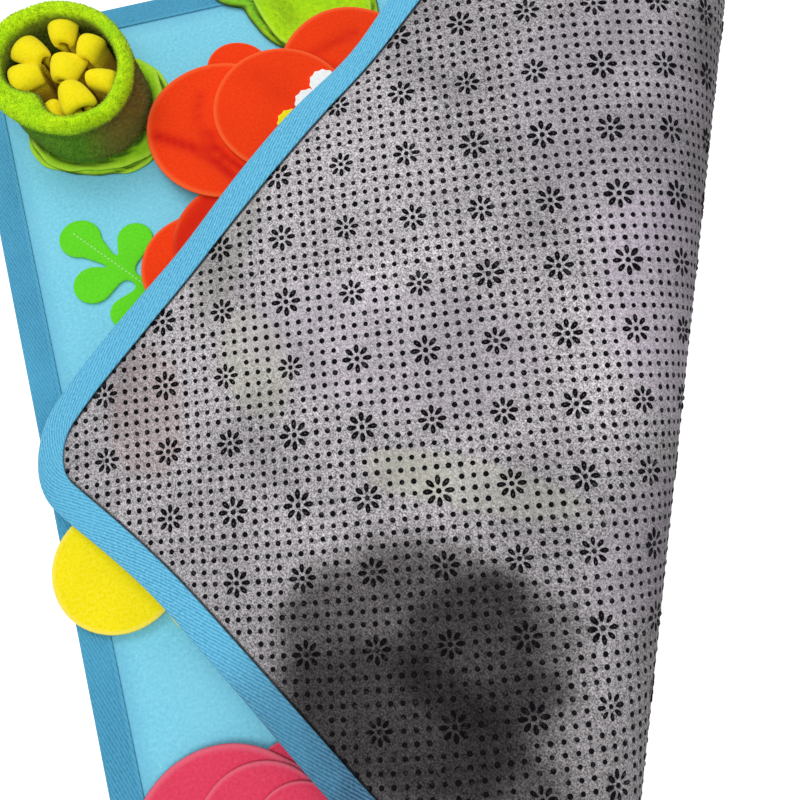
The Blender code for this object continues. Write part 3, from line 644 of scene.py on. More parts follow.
# ---- the folded mat ------------------------------------------------------------------------------
class Fold:
    """Carries points of the flat mat, with their height in its thickness, to their folded places."""

    def __init__(self):
        turn = math.radians(FOLD_ANGLE)
        self.along = np.array((math.cos(turn), math.sin(turn)))
        self.across = np.array((math.sin(turn), -math.cos(turn)))
        self.tip = CONE_FOOT - CONE_RADIUS
        arcs, turns = zip(*BEND)
        arc = np.arange(0.0, arcs[-1] + BEND_STEP, BEND_STEP)
        rate = np.interp(arc, arcs, turns) / 1000.0 * CONE_RADIUS
        frame_now = np.array(((0.0, 1.0, 0.0), (1.0, 0.0, 0.0), (0.0, 0.0, 1.0)))
        frames = [frame_now]
        step = BEND_STEP / CONE_RADIUS
        for bend in (rate[1:] + rate[:-1]) / 2.0:
            spin = step * np.array(((0.0, 1.0, 0.0), (-1.0, 0.0, bend), (0.0, -bend, 0.0)))
            frame_now = frame_now + spin @ frame_now + spin @ spin @ frame_now / 2.0
            frame_now = frame_now / np.linalg.norm(frame_now, axis=1)[:, None]
            frames.append(frame_now)
        self.angles = arc / CONE_RADIUS
        self.frames = np.array(frames)

    def strayed(self, flat):
        """Flat points moved where the edge strays from the plain fold, and how far each of them dips."""
        sunk = np.zeros(len(flat))
        drawn = flat.copy()
        for middle, spread, inward, dip, draw in EDGE_CURLS:
            near = np.clip(1.0 - (MAT_SIDE - flat[:, 0]) / inward, 0.0, 1.0) ** 2
            near = near * np.exp(-(((flat[:, 1] - middle) / spread) ** 2))
            sunk += dip * near
            drawn[:, 0] -= draw * near
        folded_up = smooth(flat @ self.across - FOLD_OFFSET, 40.0, 120.0)
        for x, y, spread, *shift in EDGE_SHIFTS:
            near = np.exp(-(((flat - (x, y)) / spread) ** 2).sum(1)) * folded_up
            drawn += near[:, None] * shift
        return drawn, sunk

    def place(self, flat, height):
        """Places in millimetres of flat points (n, 2) at heights (n) over the mat's underside."""
        height = np.broadcast_to(np.asarray(height, float), len(flat))
        drawn, sunk = self.strayed(flat)
        across = drawn @ self.across - FOLD_OFFSET
        along = drawn @ self.along
        angle = np.arctan2(across, along - self.tip)
        reach = np.hypot(across, along - self.tip)
        ruling, up = (
            np.stack([np.interp(angle, self.angles, self.frames[:, row, axis]) for axis in range(3)], 1)
            for row in (0, 2)
        )
        lifted = smooth(across, 60.0, 160.0)
        wave = sum(
            high * np.sin(flat[:, 0] * by_x + flat[:, 1] * by_y + phase) for high, by_x, by_y, phase in RIPPLES
        )
        spot = reach[:, None] * ruling + (height + sunk - wave * lifted)[:, None] * up
        folded = np.column_stack((spot[:, 0] + FOLD_OFFSET, spot[:, 1] + self.tip))
        bent = np.column_stack((folded @ np.stack((self.across, self.along)), spot[:, 2]))
        still = np.column_stack((flat, height))
        return np.where((across <= 0.0)[:, None], still, bent)


def smooth(value, low, high):
    share = np.clip((np.asarray(value, float) - low) / (high - low), 0.0, 1.0)
    return share * share * (3.0 - 2.0 * share)


def lifted_by(flat):
    """How much of a flat point's place is in the folded part: 0 beside the fold line, 1 well past it."""
    return smooth(flat @ FOLD.across - FOLD_OFFSET, 20.0, 120.0)


FOLD = Fold()
LEAF_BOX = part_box("leaf_lower")
SHIFT = np.array((
    LEAF_BOX[0].x - MM * min(x for x, _ in LEAF_LOWER),
    LEAF_BOX[1].y - MM * max(y for _, y in LEAF_LOWER),
    0.0,
))


def to_row(points):
    """Millimetres in the mat's frame to metres in the solids' frame."""
    return np.asarray(points, float) * MM + SHIFT


# ---- mesh helpers --------------------------------------------------------------------------------
def new_object(name, data):
    made = bpy.data.objects.new(name, data)
    bpy.context.scene.collection.objects.link(made)
    return made


def new_mesh(name, points, faces, flat):
    """A mesh in metres. flat holds each point's or each face corner's place on the cut cloth."""
    mesh = bpy.data.meshes.new(name)
    mesh.from_pydata([tuple(point) for point in points], [], [tuple(map(int, face)) for face in faces])
    if len(flat) == len(points):
        corners = np.empty(len(mesh.loops), np.int32)
        mesh.loops.foreach_get("vertex_index", corners)
        flat = flat[corners]
    mesh.uv_layers.new(name="flat").data.foreach_set("uv", flat.ravel())
    return mesh


def dressed(name, mesh, slot, *replaced):
    """A piece that rides the mat's one body."""
    mesh.name = name
    mesh.shade_smooth()
    piece = new_object(name, mesh)
    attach(piece, BODY)
    if replaced:
        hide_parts(*replaced)
    return piece


def make_piece(name, node, points, faces, finish, slot, flat=None, **layers):
    """A piece from points in millimetres, with the layers its finish reads."""
    points = np.asarray(points, float)
    mesh = new_mesh(name, to_row(points), faces, (points[:, :2] if flat is None else flat) * MM)
    mesh.materials.append(finish)
    for label, values in layers.items():
        mesh.attributes.new(label, "FLOAT", "POINT").data.foreach_set("value", np.asarray(values, float))
    return dressed(name, mesh, slot, node)


def grid_faces(rows, columns, wrap_rows=False, wrap_columns=False):
    """Four-cornered faces between the points of a grid."""
    row, column = np.meshgrid(np.arange(rows - (not wrap_rows)), np.arange(columns - (not wrap_columns)), indexing="ij")
    low, high = row * columns, (row + 1) % rows * columns
    after = (column + 1) % columns
    return np.stack((low + column, low + after, high + after, high + column), 2).reshape(-1, 4)


def signed_area(outline):
    """Area inside a closed outline, below zero where it runs clockwise."""
    x, y = np.asarray(outline, float).T
    return float(np.sum(x * np.roll(y, -1) - y * np.roll(x, -1))) / 2.0


def run_along(points):
    """How far along a line each of its points lies."""
    return np.concatenate(((0.0,), np.cumsum(np.hypot(*np.diff(points, axis=0).T))))


def declare_sheet(outline):
    """Works out the size and area of a sheet cut to an outline in millimetres; nothing uses them."""
    size = np.ptp(np.asarray(outline, float), axis=0) * MM
    area = min(abs(signed_area(outline)) * MM * MM, size[0] * size[1])


def rounded_loop(points, rounds=2):
    """Cuts the corners of a closed outline until it is smooth."""
    points = np.asarray(points, float)
    for _ in range(rounds):
        after = np.roll(points, -1, axis=0)
        points = np.stack((0.75 * points + 0.25 * after, 0.25 * points + 0.75 * after), 1).reshape(-1, 2)
    return points


def resampled(points, count):
    """A closed outline as evenly spaced points."""
    points = np.vstack((points, points[:1]))
    run = run_along(points)
    marks = np.linspace(0.0, run[-1], count, endpoint=False)
    return np.column_stack([np.interp(marks, run, points[:, axis]) for axis in range(2)])


# ---- the two cloths ------------------------------------------------------------------------------
def inset_of(flat):
    """How far flat points lie in from the mat's rounded edge."""
    away = np.abs(flat - np.array((MAT_SIDE, -MAT_SIDE)) / 2.0)
    core = MAT_SIDE / 2.0 - CORNER_RADIUS
    past = np.maximum(away - core, 0.0)
    in_corner = (past > 0.0).all(axis=1)
    return np.where(in_corner, CORNER_RADIUS - np.hypot(*past.T), MAT_SIDE / 2.0 - away.max(axis=1))


def mat_grid(step=3.6):
    """A grid over the mat whose rows follow its rounded outline."""
    near = (4.0, 8.5, 12.5, 14.2, 15.2, 16.4, 18.5, 22.0, 26.0, 30.0, CORNER_RADIUS)
    span = MAT_SIDE - 2.0 * CORNER_RADIUS
    middle = CORNER_RADIUS + np.linspace(0.0, span, int(span / step) + 1)[1:-1]
    line = np.concatenate((near, middle, MAT_SIDE - np.array(near)[::-1]))
    x, y = np.meshgrid(line, -line[::-1], indexing="xy")
    flat = np.stack((x.ravel(), y.ravel()), 1)
    centre = np.array((MAT_SIDE, -MAT_SIDE)) / 2.0
    core = MAT_SIDE / 2.0 - CORNER_RADIUS
    offset = flat - centre
    past = np.abs(offset) - core
    corner = (past > 0.0).all(axis=1)
    side, other = past[corner].T
    big = np.maximum(side, other)
    share = np.where(side >= other, other / np.maximum(side, 1e-9), 2.0 - side / np.maximum(other, 1e-9))
    angle = share * math.pi / 4.0
    bent = np.stack((core + big * np.cos(angle), core + big * np.sin(angle)), 1)
    offset[corner] = np.sign(offset[corner]) * bent
    return offset + centre, len(line)


def cloth_heights(flat, outside, inside):
    """Heights of a cloth's face: squeezed under the binding, full thickness beside it."""
    return outside + (inside - outside) * smooth(inset_of(flat), TAPE_WIDTH - 0.3, TAPE_WIDTH + 1.9)


def mat_cloth(name, node, finish, slot, low, high):
    """One of the two cloths. low and high are its faces' heights under the binding and beside it."""
    flat, count = mat_grid()
    total = len(flat)
    points = np.vstack([FOLD.place(flat, cloth_heights(flat, *face)) for face in (low, high)])
    under = grid_faces(count, count)
    row = list(range(count))
    border = row + [row[-1] + count * i for i in range(1, count)]
    border += [total - 1 - i for i in range(1, count)] + [count * i for i in range(count - 2, 0, -1)]
    after = np.roll(border, -1)
    walls = np.stack((border, after, after + total, np.array(border) + total), 1)
    faces = np.vstack((under[:, ::-1], under + total, walls))
    piece = make_piece(name, node, points, faces, finish, slot, np.vstack((flat, flat)))
    declare_sheet(flat[border])


def felt_face():
    """The felt's outer face inside the binding, which carries the dots. It is removed once they are made."""
    flat, count = mat_grid(6.0)
    faces = grid_faces(count, count)[:, ::-1]
    faces = faces[(inset_of(flat) > 15.0)[faces].all(axis=1)]
    share = np.column_stack((flat[:, 0] / MAT_SIDE, 1.0 + flat[:, 1] / MAT_SIDE))
    return new_object("felt_face", new_mesh("felt_face", to_row(FOLD.place(flat, FELT_FACE)), faces, share))


# ---- geometry nodes ------------------------------------------------------------------------------
class Tree:
    """A geometry node tree under construction. Its inputs are (kind, default) by label."""

    def __init__(self, name, **inputs):
        self.group = bpy.data.node_groups.new(name, "GeometryNodeTree")
        new_socket = self.group.interface.new_socket
        new_socket("Geometry", in_out="INPUT", socket_type="NodeSocketGeometry")
        self.sockets = {}
        for label, (kind, default) in inputs.items():
            socket = new_socket(label, in_out="INPUT", socket_type="NodeSocket" + kind)
            if default is not None:
                socket.default_value = default
            self.sockets[label] = socket.identifier
        new_socket("Geometry", in_out="OUTPUT", socket_type="NodeSocketGeometry")
        self.entry = self.group.nodes.new("NodeGroupInput")
        self.exit = self.group.nodes.new("NodeGroupOutput")

    def __getitem__(self, label):
        return self.entry.outputs[label]

    def node(self, kind, values=(), output=0, **settings):
        """Any node: its settings come first, then its sockets by number or name. Gives one output."""
        made = self.group.nodes.new(kind)
        for name, setting in settings.items():
            setattr(made, name, setting)
        for key, value in values.items() if isinstance(values, dict) else enumerate(values):
            if isinstance(value, bpy.types.NodeSocket):
                self.group.links.new(value, made.inputs[key])
            else:
                made.inputs[key].default_value = value
        return made.outputs[output]

    def maths(self, operation, *values):
        return self.node("ShaderNodeMath", values, operation=operation)

    def vector(self, operation, first, second):
        values = {0: first, "Scale": second} if operation == "SCALE" else (first, second)
        return self.node("ShaderNodeVectorMath", values, operation=operation)

    def turned(self, vector, angle):
        return self.node("ShaderNodeVectorRotate", {"Vector": vector, "Angle": angle}, rotation_type="Z_AXIS")

    def both(self, first, second):
        return self.node("FunctionNodeBooleanMath", (first, second), operation="AND")

    def below(self, first, second):
        return self.node("FunctionNodeCompare", (first, second), operation="LESS_THAN")

    def stored(self, label, kind):
        return self.node("GeometryNodeInputNamedAttribute", {"Name": label}, data_type=kind)

    def facing(self, axis, vector, start=(0.0, 0.0, 0.0), **settings):
        """A rotation, begun from another, that turns one axis to a vector."""
        values = {"Rotation": start, "Vector": vector}
        return self.node("FunctionNodeAlignRotationToVector", values, axis=axis, **settings)

    def random(self, kind, low, high):
        values = {"Min": low, "Max": high, "Seed": self["Seed"]}
        return self.node("FunctionNodeRandomValue", values, "Value", data_type=kind)

    def placed(self, points, instance, rotation, scale=(1.0, 1.0, 1.0), selection=True):
        values = {"Points": points, "Instance": instance, "Rotation": rotation, "Scale": scale, "Selection": selection}
        return self.node("GeometryNodeInstanceOnPoints", values)

    def finish(self, geometry):
        """Ends the tree in Realize Instances and Set Material."""
        real = self.node("GeometryNodeRealizeInstances", {"Geometry": geometry})
        dressed = self.node("GeometryNodeSetMaterial", {"Geometry": real, "Material": self["Material"]})
        self.group.links.new(dressed, self.exit.inputs[0])
        return self


def grown(name, tree, settings, slot, base=None):
    """Runs a tree on a mesh or curve object, or on nothing, and keeps the result as a plain piece."""
    base = base or new_object(name + "_base", bpy.data.meshes.new(name + "_base"))
    modifier = base.modifiers.new("Grow", "NODES")
    modifier.node_group = tree.group
    for label, value in settings.items():
        modifier[tree.sockets[label]] = value
    bpy.context.view_layer.update()
    evaluated = base.evaluated_get(bpy.context.evaluated_depsgraph_get())
    mesh = bpy.data.meshes.new_from_object(evaluated)
    if not mesh.polygons:
        raise RuntimeError(f"{name} came out empty")
    bpy.data.objects.remove(base)
    return dressed(name, mesh, slot)


def dot_tree():
    """Dots and small flowers on a slanting square lattice, laid on the felt through its flat pattern."""
    tree = Tree(
        "dot_lattice", Felt=("Object", None), Shape=("Object", None), Drop=("Object", None),
        Flowers=("Bool", False), Pitch=("Float", 0.005), Cell=("Int", DOT_CELL), Reach=("Int", DOT_REACH),
        Turn=("Float", 0.0), Origin=("Vector", (0.0, 0.0, 0.0)), Side=("Float", MAT_SIDE * MM),
        Low=("Float", -1.0), High=("Float", 1.0), Seed=("Int", 7), Material=("Material", None),
    )
    node, maths, vector, both, below = tree.node, tree.maths, tree.vector, tree.both, tree.below
    felt = node("GeometryNodeObjectInfo", {"Object": tree["Felt"]}, "Geometry", transform_space="RELATIVE")
    span = maths("MULTIPLY", tree["Reach"], 2.0)
    count = maths("ADD", span, 1.0)
    grid = node("GeometryNodeMeshGrid", {"Vertices X": count, "Vertices Y": count, "Size X": span, "Size Y": span})
    lattice = node("GeometryNodeInputPosition")
    steps = node("ShaderNodeSeparateXYZ", (lattice,)).node.outputs

    def from_flower(step):
        """How many dots a lattice row is from the nearest row of flowers."""
        moved = maths("ADD", maths("ROUND", step), maths("MULTIPLY", tree["Cell"], 100.0))
        place = maths("MODULO", moved, tree["Cell"])
        return maths("MINIMUM", place, maths("SUBTRACT", tree["Cell"], place))

    def within(reach):
        return both(*(below(from_flower(step), reach) for step in steps[:2]))

    flat = vector("ADD", tree.turned(vector("SCALE", lattice, tree["Pitch"]), tree["Turn"]), tree["Origin"])
    share = vector("ADD", vector("SCALE", flat, maths("DIVIDE", 1.0, tree["Side"])), (0.0, 1.0, 0.0))
    ahead = tree.turned((0.002, 0.0, 0.0), tree["Turn"])
    pattern = tree.stored("flat", "FLOAT_VECTOR")

    def sampled(value, place):
        values = {"Mesh": felt, "Value": value, "UV Map": pattern, "Sample UV": place}
        return node("GeometryNodeSampleUVSurface", values, data_type="FLOAT_VECTOR")

    spot = sampled(lattice, share)
    normal = sampled(node("GeometryNodeInputNormal"), share)
    before, after = (sampled(lattice, vector(way, share, ahead)) for way in ("SUBTRACT", "ADD"))
    turn = tree.facing("X", vector("SUBTRACT", after, before), start=tree.facing("Z", normal), pivot_axis="Z")
    upward = node("ShaderNodeSeparateXYZ", (normal,), 2)
    inside = both(below(tree["Low"], upward), below(upward, tree["High"]))
    shown = both(spot.node.outputs["Is Valid"], inside)
    plain = node("FunctionNodeBooleanMath", (within(1.5),), operation="NOT")
    values = {"Switch": tree["Flowers"], "False": plain, "True": within(0.5)}
    wanted = both(shown, node("GeometryNodeSwitch", values, input_type="BOOLEAN"))
    points = node("GeometryNodeMeshToPoints", {"Mesh": grid})
    for label, value, kind in (
        ("wanted", wanted, "BOOLEAN"), ("spot", spot, "FLOAT_VECTOR"), ("turn", turn, "QUATERNION"),
    ):
        values = {"Geometry": points, "Name": label, "Value": value}
        points = node("GeometryNodeStoreNamedAttribute", values, data_type=kind, domain="POINT")
    laid = node("GeometryNodeSetPosition", {"Geometry": points, "Position": tree.stored("spot", "FLOAT_VECTOR")})
    size = tree.random("FLOAT", 0.90, 1.10)
    dot, drop = (node("GeometryNodeObjectInfo", {"Object": tree[label]}, "Geometry") for label in ("Shape", "Drop"))
    ring = node("GeometryNodeMeshLine", {"Count": 8, "Offset": (0.0, 0.0, 0.0)})
    spin = maths("MULTIPLY", node("GeometryNodeInputIndex"), math.pi / 4.0)
    drops = tree.placed(ring, drop, node("ShaderNodeCombineXYZ", {2: spin}))
    flower = node("GeometryNodeJoinGeometry", (drops,))
    tree.group.links.new(dot, flower.node.inputs[0])
    values = {"Switch": tree["Flowers"], "False": dot, "True": flower}
    shape = node("GeometryNodeSwitch", values, input_type="GEOMETRY")
    turn, wanted = tree.stored("turn", "QUATERNION"), tree.stored("wanted", "BOOLEAN")
    return tree.finish(tree.placed(laid, shape, turn, size, wanted))




def small_shape(name, points, faces):
    """A small shape for a tree to repeat, from points in millimetres about its own middle."""
    mesh = bpy.data.meshes.new(name)
    mesh.from_pydata([[part * MM for part in point] for point in points], [], faces)
    return new_object(name, mesh)


def dot_shape(radius, sides):
    """One low rubber dome of a radius in metres."""
    turns = [2.0 * math.pi * side / sides for side in range(sides)]
    points = [
        (share * radius / MM * math.cos(turn), share * radius / MM * math.sin(turn), height)
        for height, share in ((-0.06, 1.0), (0.24, 0.92)) for turn in turns
    ]
    faces = [tuple(reversed(range(sides)))]
    for side in range(sides):
        after = (side + 1) % sides
        faces += [(side, after, sides + after, sides + side), (sides + side, sides + after, 2 * sides)]
    return small_shape("dot_shape", [*points, (0.0, 0.0, 0.40)], faces)


def drop_shape(steps):
    """One hollow seed shape of a small flower: a low ridge round it, and felt inside."""
    points = []
    for turn in (2.0 * math.pi * step / steps for step in range(steps)):
        along = 4.30 - 1.52 * math.cos(turn)
        across = 0.66 * math.sin(turn) * (1.0 - 0.22 * math.cos(turn))
        swell = 1.0 + 0.30 * abs(math.cos(turn)) ** 3
        out = Vector((-math.cos(turn), math.sin(turn) * 1.2)).normalized()
        for shift, height in ((0.54, -0.06), (0.0, 0.40), (-0.60, 0.20)):
            points.append((along + shift * swell * out.x, across + shift * out.y, height))
    faces = grid_faces(steps, 3, wrap_rows=True, wrap_columns=True).tolist()
    return small_shape("drop_shape", points, faces)


def stitch_tree():
    """Short threads laid end to end along a line."""
    tree = Tree(
        "stitch_row", Pitch=("Float", 0.0036), Length=("Float", 0.0027), Thread=("Float", 0.0005),
        Material=("Material", None),
    )
    run = tree.node("GeometryNodeResampleCurve", {"Curve": tree["Geometry"], "Length": tree["Pitch"]}, mode="LENGTH")
    turn = tree.facing("X", tree.node("GeometryNodeInputTangent"))
    ball = tree.node("GeometryNodeMeshIcoSphere", {"Radius": 0.5, "Subdivisions": 1})
    scale = tree.node("ShaderNodeCombineXYZ", (tree["Length"], tree["Thread"], tree["Thread"]))
    return tree.finish(tree.placed(run, ball, turn, scale))


def pile_tree():
    """Tufts of pile scattered over a cloth, each leaning its own way."""
    tree = Tree(
        "plush_pile", Density=("Float", 900000.0), Length=("Float", 0.0016), Width=("Float", 0.00032),
        Lean=("Float", 0.75), Seed=("Int", 7), Material=("Material", None),
    )
    values = {"Mesh": tree["Geometry"], "Density": tree["Density"], "Seed": tree["Seed"]}
    spread = tree.node("GeometryNodeDistributePointsOnFaces", values, distribute_method="RANDOM")
    values = {"Vertices": 3, "Radius Top": 0.0, "Radius Bottom": tree["Width"], "Depth": tree["Length"]}
    tuft = tree.node("GeometryNodeMeshCone", values, "Mesh", fill_type="NONE")
    lean, away = tree["Lean"], tree.maths("MULTIPLY", tree["Lean"], -1.0)
    low, high = (tree.node("ShaderNodeCombineXYZ", corner) for corner in ((away, away, -3.1), (lean, lean, 3.1)))
    tilt = tree.node("FunctionNodeEulerToRotation", (tree.random("FLOAT_VECTOR", low, high),))
    values = {"Rotation": spread.node.outputs["Rotation"], "Rotate By": tilt}
    turn = tree.node("FunctionNodeRotateRotation", values, rotation_space="LOCAL")
    return tree.finish(tree.placed(spread, tuft, turn, tree.random("FLOAT", 0.6, 1.25)))


def pile_on(name, piece, finish, slot, sizes, seed):
    """Scatters pile over a copy of a finished piece."""
    base = new_object(name + "_base", piece.data.copy())
    settings = {
        "Density": sizes.pile_density, "Length": sizes.pile_length, "Seed": sizes.seed + seed, "Material": finish,
    }
    return grown(name, pile_tree(), settings, slot, base)


# ---- the binding ---------------------------------------------------------------------------------
def edge_run(step):
    """Points once round the mat's rounded edge, anticlockwise, with inward directions and lengths."""
    near, far = CORNER_RADIUS, MAT_SIDE - CORNER_RADIUS
    bend = np.linspace(0.0, 90.0, int(math.radians(90.0) * CORNER_RADIUS / step) + 1)
    side = np.linspace(0.0, far - near, int((far - near) / step) + 1)[1:-1, None]
    spots, inward = [], []
    for start, corner in enumerate(((near, -far), (far, -far), (far, -near), (near, -near)), 2):
        angle = np.radians(90.0 * start + bend)
        out = np.column_stack((np.cos(angle), np.sin(angle)))
        curve = corner + CORNER_RADIUS * out
        spots += [curve, curve[-1] + side * (-out[-1, 1], out[-1, 0])]
        inward += [-out, np.repeat(-out[-1:], len(side), axis=0)]
    spots = np.vstack(spots)
    return spots, np.vstack(inward), run_along(spots)


def make_binding(finish):
    """The tape: its section swept round the mat's edge, a little puckered, and hanging loose where it is lifted."""
    spots, inward, run = edge_run(2.4)
    section = np.array(TAPE_SECTION)
    steps = len(section)
    across = run_along(section)
    flat = (spots[:, None] + inward[:, None] * section[:, :1]).reshape(-1, 2)
    outside = np.arange(steps) < TAPE_OUTER_STEPS
    pucker = 0.16 * np.sin(run * 0.62 + 1.3 * np.sin(run * 0.071)) + 0.12 * np.sin(run * 0.27 + 2.0)
    puffed = smooth(section[:, 0], 1.0, 4.0) * (1.0 - smooth(section[:, 0], 9.0, 13.5))
    side = np.where(section[:, 1] > 2.4, 1.0, -1.0) * outside
    lift = lifted_by(flat).reshape(-1, steps)
    height = section[:, 1] + side * puffed * (pucker[:, None] * 0.6 - np.where(side > 0, 0.1, 0.0))
    height = np.where((section[:, 1] < 2.0) & outside, height - TAPE_DROP * lift, height)
    height = np.where(lift < 0.01, np.maximum(height, 0.0), height)
    faces = grid_faces(len(spots), steps, wrap_rows=True, wrap_columns=True)
    last = run[-1] + float(np.hypot(*(spots[0] - spots[-1])))
    around = across[-1] + float(np.hypot(*(section[0] - section[-1])))
    rows, columns = faces // steps, faces % steps
    lengths = np.where((rows == 0) & (rows.max(axis=1) > 1)[:, None], last, run[rows])
    turns = np.where((columns == 0) & (columns.max(axis=1) > 1)[:, None], around, across[columns])
    pattern = np.stack((lengths, turns), 2).reshape(-1, 2)
    points = FOLD.place(flat, height.ravel())
    piece = make_piece("tape_binding", "binding", points, faces, finish, "binding_tape", pattern)


def line_object(name, points):
    """A line through points in millimetres, for stitches to follow."""
    curve = bpy.data.curves.new(name, "CURVE")
    curve.dimensions = "3D"
    spline = curve.splines.new("POLY")
    spline.points.add(len(points) - 1)
    for point, place in zip(spline.points, to_row(points)):
        point.co = (*place, 1.0)
    return new_object(name, curve)


# ---- petals and leaves ---------------------------------------------------------------------------
PETAL_RINGS = (0.10, 0.20, 0.30, 0.40, 0.50, 0.59, 0.67, 0.75, 0.82, 0.88, 0.93, 0.97, 0.99)
PETAL_RIM = {0.97: 0.95, 0.99: 0.82}    # how full the outermost rings are, as a share of the thickness


def two_circles(first, second, count=84):
    """The outline of a taut band round two circles given as x, y, radius."""
    ahead = (second[0] - first[0], second[1] - first[1])
    facing = math.atan2(ahead[1], ahead[0])
    side = math.acos((first[2] - second[2]) / math.hypot(*ahead))
    points = arc(*first, facing + side, facing - side + 2.0 * math.pi, 40)
    return resampled(np.array(points + arc(*second, facing - side, facing + side, 12)), count)


def arc(x, y, radius, start, end, steps):
    """Points along an arc between two angles."""
    angles = (start + (end - start) * step / steps for step in range(steps + 1))
    return [(x + radius * math.cos(angle), y + radius * math.sin(angle)) for angle in angles]


def crease_depth_and_shade(x, y, crease_shade_lines):
    """How deep lines of fold and shade sink a sheet, and how dark a painted shade they give it: each runs through x, y
    points with a width in mm.
    """
    depth = np.zeros_like(x)
    for width, strength, line in crease_shade_lines:
        for (x0, y0), (x1, y1) in zip(line, line[1:]):
            long = np.hypot(x1 - x0, y1 - y0)
            share = np.clip(((x - x0) * (x1 - x0) + (y - y0) * (y1 - y0)) / long ** 2, 0.0, 1.0)
            away = np.hypot(x - x0 - share * (x1 - x0), y - y0 - share * (y1 - y0))
            depth = np.maximum(depth, strength * np.exp(-((away / width) ** 2)))
    return depth


def petal(
    kind, node, outline, middle, thickness, height, finish, slot,
    lift=None, crease_shade_lines=(), sink=0.8,
):
    """A sheet with a soft rounded rim. lift adds to its underside's height at x, y."""
    outline, middle = np.asarray(outline, float), np.asarray(middle, float)
    count, half = len(outline), 1 + len(PETAL_RINGS) * len(outline)
    rings = np.array((*PETAL_RINGS, 1.0, *PETAL_RINGS[::-1]))
    spread = middle + rings[:, None, None] * (outline - middle)
    flat = np.vstack((middle, spread.reshape(-1, 2), middle))
    full = [PETAL_RIM.get(ring, 1.0) for ring in PETAL_RINGS]
    level = np.repeat((*full, 0.5, *(1.0 - share for share in full[::-1])), count)
    level = np.concatenate(((1.0,), level, (0.0,)))
    # how far each point sinks along the lines, and how dark the painted shade there is
    crease = crease_depth_and_shade(flat[:, 0], flat[:, 1], crease_shade_lines)
    base = height + (lift(flat[:, 0], flat[:, 1]) if lift else 0.0)
    lowered = crease * sink * (np.arange(len(flat)) < half)
    points = np.column_stack((flat, base + thickness * level - lowered))
    index = np.arange(count)
    after = (index + 1) % count
    final = len(flat) - 1
    faces = (1 + grid_faces(len(rings), count, wrap_columns=True)[:, [0, 3, 2, 1]]).tolist()
    faces += np.column_stack((np.zeros(count, int), 1 + index, 1 + after)).tolist()
    faces += np.column_stack((np.full(count, final), final - count + after, final - count + index)).tolist()
    rim = np.concatenate(((0.0,), np.repeat(rings, count), (0.0,)))
    piece = make_piece(f"{kind}_{node}", node, points, faces, finish, slot, flat, rim=rim, crease=crease)
    declare_sheet(outline)


def root_toward(centre, x, y, distance, radius):
    share = distance / math.hypot(x - centre[0], y - centre[1])
    return (centre[0] + share * (x - centre[0]), centre[1] + share * (y - centre[1]), radius)


def red_lift(x, y):
    square = (x - RED_CENTRE[0]) ** 2 + (y - RED_CENTRE[1]) ** 2
    ruffle = 0.8 * np.sin(x * 0.085 + 0.6) * np.sin(y * 0.074 + 1.1) * smooth(np.sqrt(square), 25.0, 70.0)
    return RED_LIFT * square / (square + SPREAD ** 2) + ruffle


def pinked(outline, tooth=4.4, depth=0.8):
    """An outline cut with pinking shears."""
    teeth = int(run_along(np.vstack((outline, outline[:1])))[-1] / tooth)
    fine = resampled(outline, teeth * 2)
    away = fine - fine.mean(axis=0)
    away /= np.hypot(*away.T)[:, None]
    fine[1::2] -= away[1::2] * depth
    return resampled(fine, teeth * 6)


def sprig_outline():
    """A stem, an end leaf and two pairs of side leaves on narrow necks, as one closed outline."""
    along = np.array(SPRIG_FOOT) - np.array(SPRIG_TIP)
    length = float(np.hypot(*along))
    along = along / length
    right = np.array((along[1], -along[0]))

    def on_stem(distance, side):
        return tuple(np.array(SPRIG_TIP) + along * distance + right * side * SPRIG_STEM)

    def side_leaf(place, side, x, y, radius):
        neck = on_stem(place, side)
        back = math.atan2(neck[1] - y, neck[0] - x)
        turn = side * math.radians(64.0)
        leaf = arc(x, y, radius, back + turn, back - turn + side * 2.0 * math.pi, 16)
        return [on_stem(place - 5.0, side)] + leaf + [on_stem(place + 4.0, side)]

    facing = math.atan2(along[1], along[0])
    opening = math.radians(40.0)
    outline = arc(*SPRIG_TIP, SPRIG_END_RADIUS, facing + opening, facing + 2.0 * math.pi - opening, 24)
    back_side = []
    for place, side, x, y, radius in SPRIG_LEAVES:
        if side < 0:
            back_side = side_leaf(place, side, x, y, radius)[::-1] + back_side
        else:
            outline = outline + side_leaf(place, side, x, y, radius)
    return rounded_loop(outline + [on_stem(length, 1), on_stem(length, -1)] + back_side, 2), along


def flat_piece(kind, node, outline, thickness, height, finish, slot):
    """A cut piece of any outline, with a slightly rounded rim."""
    if signed_area(outline) < 0.0:
        outline = outline[::-1]
    tangent = np.roll(outline, -1, axis=0) - np.roll(outline, 1, axis=0)
    inward = np.stack((-tangent[:, 1], tangent[:, 0]), 1) / np.hypot(*tangent.T)[:, None]
    count = len(outline)
    # inset from the outline, share of the thickness, and how much of a rim it is
    rings = ((1.1, 0.0, 0.0), (0.35, 0.0, 0.95), (0.0, 0.4, 1.0), (0.1, 0.75, 1.0), (0.5, 0.97, 0.95), (1.3, 1.0, 0.0))
    flat = np.vstack([outline + inward * inset for inset, _, _ in rings])
    _, level, rim = np.repeat(rings, count, axis=0).T
    inner = [Vector((x, y, 0.0)) for x, y in flat[-count:]]
    lid = []
    for a, b, c in tessellate_polygon([inner]):
        turn = (inner[b] - inner[a]).cross(inner[c] - inner[a]).z
        lid.append((a, b, c) if turn > 0.0 else (a, c, b))
    lid = np.array(lid)
    faces = [*lid[:, ::-1], *(lid + (len(rings) - 1) * count), *grid_faces(len(rings), count, wrap_columns=True)]
    points = np.column_stack((flat, height + thickness * level))
    piece = make_piece(f"{kind}_{node}", node, points, faces, finish, slot, flat, rim=rim)
    declare_sheet(outline)


